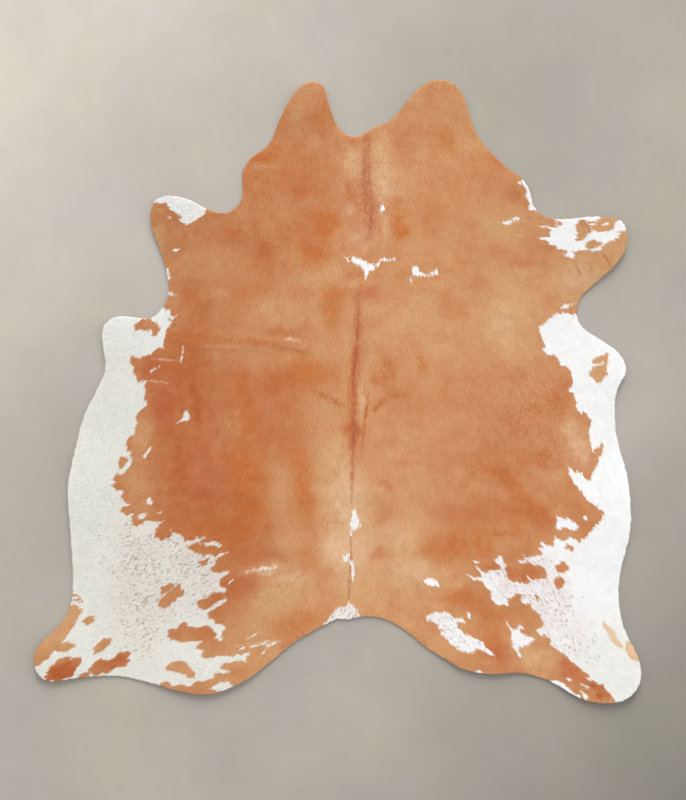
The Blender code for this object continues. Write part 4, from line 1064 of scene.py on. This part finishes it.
def fleck_depth(x, y):
    """How deep each point of the white lies in a brown dot (above zero in it), and the dot's strength."""
    share = np.zeros(x.shape)
    for oval in FLECKS.values():
        share = np.maximum(share, oval_share(x, y, *oval))
    share = DOT_GAIN * share - DOT_LOSS + noises(x, y, "dot share")
    dots = np.random.default_rng(DOT_SEED).uniform(0.0, 1.0, (NOISE_CELLS, NOISE_CELLS, 5))
    column = np.floor(x / DOT_STEP).astype(int)
    row = np.floor(y / DOT_STEP).astype(int)
    depth = np.full(x.shape, -1.0)
    strength = np.zeros(x.shape)
    for across in (-1, 0, 1):
        for along in (-1, 0, 1):
            dot = dots[(row + along) % NOISE_CELLS, (column + across) % NOISE_CELLS]
            away = np.hypot(x - (column + across + dot[:, 0]) * DOT_STEP,
                            (y - (row + along + dot[:, 1]) * DOT_STEP) * DOT_LENGTH)
            radius = DOT_RADIUS[0] + DOT_RADIUS[1] * dot[:, 3]
            inside = np.where(dot[:, 2] < share, radius - away, -1.0)
            strength = np.where(inside > depth, dot[:, 4], strength)
            depth = np.maximum(depth, inside)
    return depth, strength


def coat_colours(x, y, rng):
    """A colour for each lock or point of skin, from the markings under it."""
    ragged_x = x + RAGGED * noises(x, y, "ragged x")
    ragged_y = y + RAGGED * noises(x, y, "ragged y")
    white = white_depth(ragged_x, ragged_y) + rng.normal(0.0, FRAYED, x.shape) > 0
    colour = np.where(white[:, None], white_colours(x, y), brown_colours(x, y))
    for corners in PALE_STRIPS.values():
        pale = inside_distance(ragged_x, ragged_y, corners) > 0
        colour = mix(colour, "cream", PALE_STRIP * pale)
    depth, strength = fleck_depth(x, y)
    fleck = white & (depth + rng.normal(0.0, DOT_FRAYED, x.shape) > 0)
    strength = DOT_STRENGTH[0] + DOT_STRENGTH[1] * strength
    strength = strength * np.where(x > RIGHT_SIDE, RIGHT_DOTS, 1.0)
    colour = mix(colour, "fleck", np.where(fleck, strength, 0.0))
    # painted shade: the colours darken towards the hide's left side, as if the light fell off there
    colour = colour * (1 - PAINTED_LEFT_SHADE * np.clip(0.4 - x / 0.7, 0, 1))[:, None]
    return np.clip(colour, 0, 1), white, fleck


def hair_heading(x, y):
    """The angle, in radians, at which the hair lies at each point."""
    east = np.zeros(x.shape)
    north = np.zeros(x.shape)
    for place_x, place_y, degrees in HEADINGS.values():
        weight = ((x - place_x) ** 2 + (y - place_y) ** 2 + HEADING_BLUR ** 2) ** HEADING_POWER
        east += weight * cos(radians(degrees))
        north += weight * sin(radians(degrees))
    return np.arctan2(north, east) + np.radians(noises(x, y, "heading"))


# ---------------------------------------------------------------------------------------------
# Pieces

ROW_STEP = 0.866  # distance between two staggered rows, in steps
LOOSE_CREAM, LOOSE_DEEP = 0.15, -0.09  # how strongly single hairs are paler or deeper
LOCK_SHADE, WHITE_LOCK_SHADE = 0.028, 0.4  # spread of brightness from lock to lock, and its share in white
DOT_START = 0.55  # a dot is the tip of a lock from here on,
DOT_TURN = 0.6  # turned aside by about this, in radians,
DOT_LIFT = 0.0003  # and a little higher
LOCK_BEND, LOCK_ROLL = 0.05, 0.06
ROOT_WIDTH = 0.8  # against the width of the middle
LOCK_MAP = ((0.12, 0.06), (0.88, 0.06), (0.94, 0.52), (0.06, 0.52), (0.50, 0.96))
LOCK_STRAND = ((0.0, 0.0), (1.0, 0.0), (1.0, 0.5), (0.0, 0.5), (0.5, 1.0))
STRAND_STEP = 3  # distance between two locks in the strand map
LOCK_LOOPS = (0, 1, 2, 3, 3, 2, 4)  # a root face of four corners, then a tip face of three
LOCK_STARTS = (0, 4)  # where each of the two faces begins in it


def add_object(name, data):
    """An object in the scene for a mesh, a lamp or a camera."""
    made = bpy.data.objects.new(name, data)
    bpy.context.scene.collection.objects.link(made)
    return made


def store_colours(mesh, colours):
    """Keeps a colour for each corner point of a mesh under the name that the materials read."""
    full = np.ones((len(colours), 4), np.float32)
    full[:, :3] = colours
    layer = mesh.attributes.new("coat_colour", "FLOAT_COLOR", "POINT")
    layer.data.foreach_set("color", full.ravel())


def staggered_points(low, high, step, scatter, rng):
    """A grid of places in staggered rows, each moved a little, with its column and row."""
    columns = int((high[0] - low[0]) / step) + 2
    rows = int((high[1] - low[1]) / (step * ROW_STEP)) + 2
    column, row = np.meshgrid(np.arange(columns), np.arange(rows))
    x = low[0] + (column + 0.5 * (row % 2)) * step
    y = low[1] + row * step * ROW_STEP
    x = x + rng.uniform(-scatter, scatter, x.shape) * step
    y = y + rng.uniform(-scatter, scatter, x.shape) * step
    return x.ravel(), y.ravel(), column.ravel(), row.ravel()


def skin_side(rim, edge, low, high, step, rng):
    """One side of the skin as flat triangles: its places, its faces and where the rim's points are."""
    x, y, _, _ = staggered_points(low, high, step, SKIN_SCATTER, rng)
    keep = edge(x, y) > SKIN_INSET + RIM_GAP * step
    places = [Vector(place) for place in rim] + [Vector(place) for place in zip(x[keep], y[keep])]
    border = [(number, (number + 1) % len(rim)) for number in range(len(rim))]
    corners, _, faces, sources, _, _ = delaunay_2d_cdt(places, border, [], 1, 1e-7)
    rim_at = {number: index for index, source in enumerate(sources) for number in source}
    flat = np.array([corner[:] for corner in corners])
    return flat, faces, [rim_at[number] for number in range(len(rim))]


def build_skin(outline, edge, ground, low, high, rng):
    """The skin: a hair side, a flesh side and the cut edge between them, as one closed mesh."""
    inward = np.roll(outline, -1, 0) - np.roll(outline, 1, 0)
    inward = np.stack([-inward[:, 1], inward[:, 0]], axis=1) / np.hypot(*inward.T)[:, None]
    inset = inward * SKIN_INSET
    if np.mean(edge(*(outline + inset).T)) < np.mean(edge(*(outline - inset).T)):
        inset = -inset
    rim = outline + inset
    top, top_faces, top_rim = skin_side(rim, edge, low, high, TOP_STEP, rng)
    back, back_faces, back_rim = skin_side(rim, edge, low, high, BACK_STEP, rng)

    places = np.concatenate([
        np.column_stack([top, ground(*top.T) + LEATHER]), np.column_stack([back, ground(*back.T)])
    ])
    behind = len(top)
    faces = [tuple(face) for face in top_faces]
    faces += [tuple(corner + behind for corner in reversed(face)) for face in back_faces]
    edge_start = len(faces)
    for number in range(len(rim)):
        after = (number + 1) % len(rim)
        faces.append((
            top_rim[number], top_rim[after], back_rim[after] + behind, back_rim[number] + behind
        ))

    mesh = bpy.data.meshes.new("hide")
    mesh.from_pydata(places.tolist(), [], faces)
    kinds = np.zeros(len(faces), int)
    kinds[len(top_faces):edge_start] = 1
    kinds[edge_start:] = 2
    mesh.polygons.foreach_set("material_index", kinds)
    mesh.polygons.foreach_set("use_smooth", kinds < 2)
    shape = bmesh.new()
    shape.from_mesh(mesh)
    bmesh.ops.recalc_face_normals(shape, faces=shape.faces)
    shape.to_mesh(mesh)
    shape.free()

    colours, _, _ = coat_colours(places[:, 0], places[:, 1], rng)
    store_colours(mesh, colours)
    for material in (hair_bed_material(), suede_material(), cut_edge_material()):
        mesh.materials.append(material)
    return add_object("hide", mesh)


def trimmed_length(x, y, angle, length, edge, reach):
    """Locks are cut short where their tips would reach too far past the outline."""
    allowed = np.zeros(x.shape)
    for share in np.linspace(0.1, 1.0, 10):
        far = edge(x + length * share * np.cos(angle), y + length * share * np.sin(angle))
        free = (far > -reach) & (allowed > share - 0.15)
        allowed = np.where(free, share, allowed)
    return length * allowed


def grow_locks(edge, low, high, rng):
    """Root, length, angle and colour of every lock of the coat, and the layer that it is in."""
    x, y, column, row = staggered_points(low, high, LOCK_STEP, LOCK_SCATTER, rng)
    layer = column % 2 + 2 * (row % 2)
    keep = edge(x, y) > ROOT_INSET
    x, y, layer = x[keep], y[keep], layer[keep]
    angle = hair_heading(x, y) + rng.normal(0.0, radians(HEADING_SPREAD), x.shape)
    length = rng.uniform(*LOCK_LENGTH, x.shape)
    length = trimmed_length(x, y, angle, length, edge, rng.uniform(*OVERHANG, x.shape))
    keep = length > SHORTEST
    x, y, layer, angle, length = (values[keep] for values in (x, y, layer, angle, length))

    place = np.minimum(COLOUR_PLACE, COLOUR_SHARE * length) + noises(x, y, "tufts")
    colour, white, fleck = coat_colours(x + place * np.cos(angle), y + place * np.sin(angle), rng)
    loose = sum(oval_share(x, y, *oval) for oval in LOOSE.values())
    loose = np.where(white, 0.0, loose * rng.normal(0.0, 1.0, x.shape))
    colour = mix(colour, "cream", np.clip(LOOSE_CREAM * loose, 0, 0.6))
    colour = mix(colour, "deep", np.clip(LOOSE_DEEP * loose, 0, 0.4))
    shade = LOCK_SHADE * rng.normal(0.0, 1.0, x.shape) * np.where(white, WHITE_LOCK_SHADE, 1.0)
    colour = np.clip(colour * (1 + shade)[:, None], 0, 1)

    start = np.where(fleck, DOT_START * length, 0.0)
    x, y, length = x + start * np.cos(angle), y + start * np.sin(angle), length - start
    angle = angle + np.where(fleck, rng.normal(0.0, DOT_TURN, x.shape), 0.0)
    return x, y, angle, length, fleck, colour, layer


def lock_places(x, y, angle, length, fleck, edge, ground, rng):
    """The five corner points of each lock: two at its root, two at its middle, and its tip."""
    half = rng.uniform(*LOCK_HALF_WIDTH, x.shape)
    bend = rng.normal(0.0, LOCK_BEND, x.shape)
    roll = rng.normal(0.0, LOCK_ROLL, x.shape)
    along = np.stack([np.cos(angle), np.sin(angle)], axis=1)
    aside = np.stack([-along[:, 1], along[:, 0]], axis=1)
    root = np.stack([x, y], axis=1)
    middle = root + along * (0.5 * length)[:, None] + aside * (bend * length)[:, None]
    tip = root + along * length[:, None]
    spread = aside * half[:, None]
    flat = np.stack([
        root - ROOT_WIDTH * spread, root + ROOT_WIDTH * spread, middle + spread, middle - spread, tip
    ], axis=1)

    uncovered = np.clip(1 - edge(x, y) / EDGE_REACH, 0.0, 1.0)
    low = EDGE_LIFT * uncovered - ROOT_SINK
    belly = rng.uniform(*BELLY_RISE, x.shape)
    high = rng.uniform(*TIP_RISE, x.shape) + DOT_LIFT * fleck
    rise = np.stack([low, low, belly + roll * half, belly - roll * half, high], axis=1)
    inside = edge(flat[:, :, 0], flat[:, :, 1])
    upright = np.clip((inside + DROOP_LENGTH - DROOP_START) / DROOP_LENGTH, 0.0, 1.0)
    upright = DROOP_LEAST + (1 - DROOP_LEAST) * upright
    short = np.clip(length / LOCK_LENGTH[0], 0.0, 1.0)[:, None]
    rise = np.where(rise > 0, rise * short * upright, rise)
    height = ground(flat[:, :, 0], flat[:, :, 1]) + LEATHER + rise
    return np.concatenate([flat, height[:, :, None]], axis=2)


def build_hair_layer(number, places, colours, material):
    """One layer of locks as a mesh: two faces for each lock, and one cell of the map."""
    count, lock_corners, _ = places.shape
    first = np.arange(count)[:, None]
    corners = (first * lock_corners + np.array(LOCK_LOOPS)).ravel()
    mesh = bpy.data.meshes.new(f"hair_layer_{number}")
    mesh.vertices.add(count * lock_corners)
    mesh.vertices.foreach_set("co", places.astype(np.float32).ravel())
    mesh.loops.add(len(corners))
    mesh.loops.foreach_set("vertex_index", corners)
    mesh.polygons.add(count * len(LOCK_STARTS))
    mesh.polygons.foreach_set("loop_start", (first * len(LOCK_LOOPS) + np.array(LOCK_STARTS)).ravel())
    mesh.update(calc_edges=True)
    mesh.polygons.foreach_set("use_smooth", np.ones(len(mesh.polygons), bool))

    cell = np.concatenate([first % CELLS, first // CELLS], axis=1)[:, None, :]
    maps = {
        "OFBake": (cell + np.array([LOCK_MAP[corner] for corner in LOCK_LOOPS])) / CELLS,
        "strand": STRAND_STEP * cell + np.array([LOCK_STRAND[corner] for corner in LOCK_LOOPS]),
    }
    for name, spots in maps.items():
        mesh.uv_layers.new(name=name).data.foreach_set("uv", spots.astype(np.float32).ravel())
    store_colours(mesh, np.repeat(colours, lock_corners, axis=0))
    mesh.materials.append(material)
    mesh.validate()
    return add_object(f"hair_layer_{number}", mesh)


# ---------------------------------------------------------------------------------------------
# Materials

class Surface:
    """A material in the making, with short calls that add a node and give back its output."""

    def __init__(self, name, roughness, specular, sheen, sheen_tint):
        self.material = bpy.data.materials.new(name)
        self.material.use_nodes = True
        self.tree = self.material.node_tree
        self.shader = self.tree.nodes["Principled BSDF"]
        self.put(self.shader, {
            "Roughness": roughness, "Specular IOR Level": specular, "Sheen Weight": sheen,
            "Sheen Roughness": 0.45, "Sheen Tint": (*sheen_tint, 1.0),
        })

    def put(self, node, inputs):
        """Sets each input of a node to its value, or links it where the value is an output."""
        for name, value in inputs.items():
            if isinstance(value, bpy.types.NodeSocket):
                self.tree.links.new(value, node.inputs[name])
            else:
                node.inputs[name].default_value = value

    def add(self, kind, output, inputs, **settings):
        """Adds a node with its inputs and settings, and gives back one of its outputs."""
        made = self.tree.nodes.new("ShaderNode" + kind)
        for name, value in settings.items():
            setattr(made, name, value)
        self.put(made, inputs)
        return made.outputs[output]

    def place(self):
        """Places on the object, in metres."""
        return self.add("TexCoord", "Object", {})

    def stored_colour(self):
        return self.add("Attribute", "Color", {}, attribute_name="coat_colour")

    def noise(self, vector, scale, detail=3.0, roughness=0.55):
        return self.add("TexNoise", "Fac", {
            "Vector": vector, "Scale": scale, "Detail": detail, "Roughness": roughness
        })

    def stretch(self, vector, scale, turn=0.0):
        return self.add("Mapping", "Vector", {
            "Vector": vector, "Scale": scale, "Rotation": (0.0, 0.0, turn)
        })

    def remap(self, value, from_low, from_high, to_low, to_high):
        return self.add("MapRange", "Result", {
            "Value": value, "From Min": from_low, "From Max": from_high,
            "To Min": to_low, "To Max": to_high,
        })

    def multiply(self, one, two):
        return self.add("Math", "Value", {0: one, 1: two}, operation="MULTIPLY")

    def tint(self, colour, value):
        """A colour made lighter or darker by a value."""
        return self.add("VectorMath", "Vector", {0: colour, "Scale": value}, operation="SCALE")

    def ramp(self, value, low, high):
        """A blend of two colours, each given as the value where it is reached and the colour."""
        blend = self.add("ValToRGB", "Color", {"Fac": value})
        for element, (position, colour) in zip(blend.node.color_ramp.elements, (low, high)):
            element.position = position
            element.color = (*linear(colour), 1.0)
        return blend

    def finish(self, colour, grain, least_rough, most_rough, bump=None):
        """Links the shader: the colour, and the grain as roughness and as (strength, height) of bump."""
        rough = self.remap(grain, 0.2, 0.8, least_rough, most_rough)
        self.put(self.shader, {"Base Color": colour, "Roughness": rough})
        if bump:
            inputs = {"Strength": bump[0], "Distance": bump[1], "Height": grain}
            self.put(self.shader, {"Normal": self.add("Bump", "Normal", inputs)})
        return self.material


def hair_material():
    """Hair locks: fine strands side by side, roots darkened as painted shade under the locks, paler tips
    and a soft sheen.
    """
    made = Surface("hair_coat", 0.70, 0.18, 0.10, (1.0, 0.90, 0.80))
    strand = made.add("UVMap", "UV", {}, uv_map="strand")
    fine = made.noise(made.stretch(strand, (7.0, 0.7, 1.0)), 1.0)
    height = made.add("SeparateXYZ", "Y", {"Vector": strand})
    run = made.add("Math", "Value", {0: height, 1: float(STRAND_STEP)}, operation="MODULO")
    streaks = made.remap(fine, 0.30, 0.70, 0.94, 1.06)
    # painted shade: each lock darker at its root, under the locks above it, a little paler at its tip
    tips = made.remap(run, 0.0, 1.0, 0.93, 1.03)
    clouds = made.remap(made.noise(made.place(), 26.0, 4.0), 0.30, 0.70, 0.97, 1.03)
    light = made.multiply(made.multiply(streaks, tips), clouds)
    return made.finish(made.tint(made.stored_colour(), light), fine, 0.62, 0.82, (0.35, 0.0002))


def hair_bed_material():
    """The hair side of the skin between the locks: short dense underhair in the coat's colours, darkened as
    painted shade under the locks.
    """
    made = Surface("hair_bed", 0.75, 0.20, 0.10, (1.0, 0.93, 0.85))
    place = made.place()
    fine = made.noise(made.stretch(place, (900.0, 160.0, 900.0)), 1.0, 2.0)
    # fine streaks, and darker overall as painted shade under the locks
    streaks = made.remap(fine, 0.3, 0.7, 0.80, 0.98)
    clouds = made.remap(made.noise(place, 40.0, 4.0), 0.3, 0.7, 0.94, 1.0)
    light = made.multiply(streaks, clouds)
    return made.finish(made.tint(made.stored_colour(), light), fine, 0.65, 0.85, (0.4, 0.0004))


def suede_material():
    """The flesh side: matt pale suede with a short nap and large faint blotches."""
    made = Surface("suede_back", 0.92, 0.15, 0.25, (1.0, 0.95, 0.88))
    place = made.place()
    nap = made.noise(place, 700.0, 3.0)
    blotches = made.ramp(
        made.noise(place, 7.0, 5.0), (0.30, (196, 178, 152)), (0.72, (222, 208, 186))
    )
    light = made.remap(nap, 0.25, 0.75, 0.88, 1.06)
    return made.finish(made.tint(blotches, light), nap, 0.86, 0.98, (0.5, 0.0005))


def cut_edge_material():
    """The cut through the skin: pale grey-white leather with fibres along it."""
    made = Surface("cut_edge", 0.85, 0.2, 0.1, (1.0, 0.96, 0.90))
    fibre = made.noise(made.stretch(made.place(), (300.0, 300.0, 2400.0)), 1.0, 3.0)
    colour = made.ramp(fibre, (0.30, (176, 160, 140)), (0.70, (214, 202, 184)))
    return made.finish(colour, fibre, 0.78, 0.92, (0.4, 0.0003))


def floor_material():
    """A plain pale floor, slightly clouded, with painted light at the top left and painted shade at the
    bottom right.
    """
    made = Surface("floor", 0.8, 0.2, 0.0, (1.0, 1.0, 1.0))
    place = made.place()
    cloud = made.noise(place, 1.7, 6.0, 0.62)
    hue = made.noise(made.stretch(place, (1.0, 1.0, 1.0), 2.0), 2.3, 3.0)
    slope = made.add("VectorMath", "Value", {0: place, 1: (-0.7, 0.7, 0.0)}, operation="DOT_PRODUCT")
    away = made.add("VectorMath", "Value", {0: place}, operation="LENGTH")
    sloped = made.multiply(slope, made.remap(away, 1.8, 3.4, 1.0, 0.0))
    # painted light: a pool of light painted at the top left, and painted shade at the bottom right
    bright = made.remap(sloped, 0.45, 2.0, 1.0, 1.78)
    dull = made.remap(sloped, -0.75, -2.0, 1.0, 0.42)
    light = made.multiply(made.multiply(bright, dull), made.remap(cloud, 0.3, 0.7, 0.90, 1.08))
    colour = made.ramp(hue, (0.35, (172, 166, 161)), (0.65, (173, 168, 157)))
    return made.finish(made.tint(colour, light), cloud, 0.74, 0.88)


# ---------------------------------------------------------------------------------------------
# Floor, light and camera

def build_floor():
    """A wide plain floor just under the hide, so that the two don't share a plane."""
    corners = [(x * FLOOR_REACH, y * FLOOR_REACH, 0.0) for x, y in ((-1, -1), (1, -1), (1, 1), (-1, 1))]
    mesh = bpy.data.meshes.new("floor")
    mesh.from_pydata(corners, [], [(0, 1, 2, 3)])
    mesh.materials.append(floor_material())
    floor = add_object("floor", mesh)
    floor.location.z = FLOOR_LEVEL


def build_light():
    """A wide soft light from beyond the neck, two weaker ones beside it and an even pale sky."""
    world = bpy.data.worlds.new("studio")
    world.use_nodes = True
    sky = world.node_tree.nodes["Background"]
    sky.inputs["Color"].default_value = (*DAYLIGHT, 1.0)
    sky.inputs["Strength"].default_value = SKY_STRENGTH
    bpy.context.scene.world = world

    for name, (across, up, energy) in WINDOWS.items():
        across, up = radians(across), radians(up)
        lamp = bpy.data.lights.new(name, "SUN")
        lamp.energy = energy
        lamp.angle = radians(WINDOW_WIDTH)
        lamp.color = DAYLIGHT
        window = add_object(name, lamp)
        window.location = (sin(across) * cos(up), cos(across) * cos(up), sin(up))
        window.rotation_euler = (-window.location).to_track_quat("-Z", "Y").to_euler()


def build_camera():
    """Straight above the picture's middle, with the neck at the top of the picture."""
    lens = bpy.data.cameras.new("camera")
    lens.sensor_width = SENSOR
    lens.lens = SENSOR * CAMERA_HEIGHT / PICTURE_HEIGHT
    lens.clip_end = 200.0
    camera = add_object("camera", lens)
    camera.location = (*PICTURE_MIDDLE, CAMERA_HEIGHT)
    bpy.context.scene.camera = camera


# ---------------------------------------------------------------------------------------------
# The rug and the whole scene

def build_rug():
    """The skin and its hair layers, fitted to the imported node."""
    shape = cowhide_shape(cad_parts["cowhide"])
    lowest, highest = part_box("cowhide")
    low = (lowest.x - MARGIN, lowest.y - MARGIN)
    high = (highest.x + MARGIN, highest.y + MARGIN)
    outline = cut_outline(shape)
    edge = Map(low, high, MAP_STEP)
    edge.values = inside_distance(edge.x, edge.y, [tuple(place) for place in outline])
    underside = underside_map(shape, low, high)
    shape.free()

    def ground(x, y):
        return underside(x, y) + relief(x, y)

    rng = np.random.default_rng(COAT_SEED)
    hide = build_skin(outline, edge, ground, low, high, rng)
    x, y, angle, length, fleck, colour, layer = grow_locks(edge, low, high, rng)
    places = lock_places(x, y, angle, length, fleck, edge, ground, rng)
    coat = hair_material()
    layers = [
        build_hair_layer(number + 1, places[layer == number], colour[layer == number], coat)
        for number in range(LAYERS)
    ]

    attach(hide, "root")
    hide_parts("cowhide")
    for piece in layers:
        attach(piece, "root")


def main():
    bpy.context.scene.view_settings.view_transform = "Standard"
    build_rug()
    build_floor()
    build_light()
    build_camera()


main()
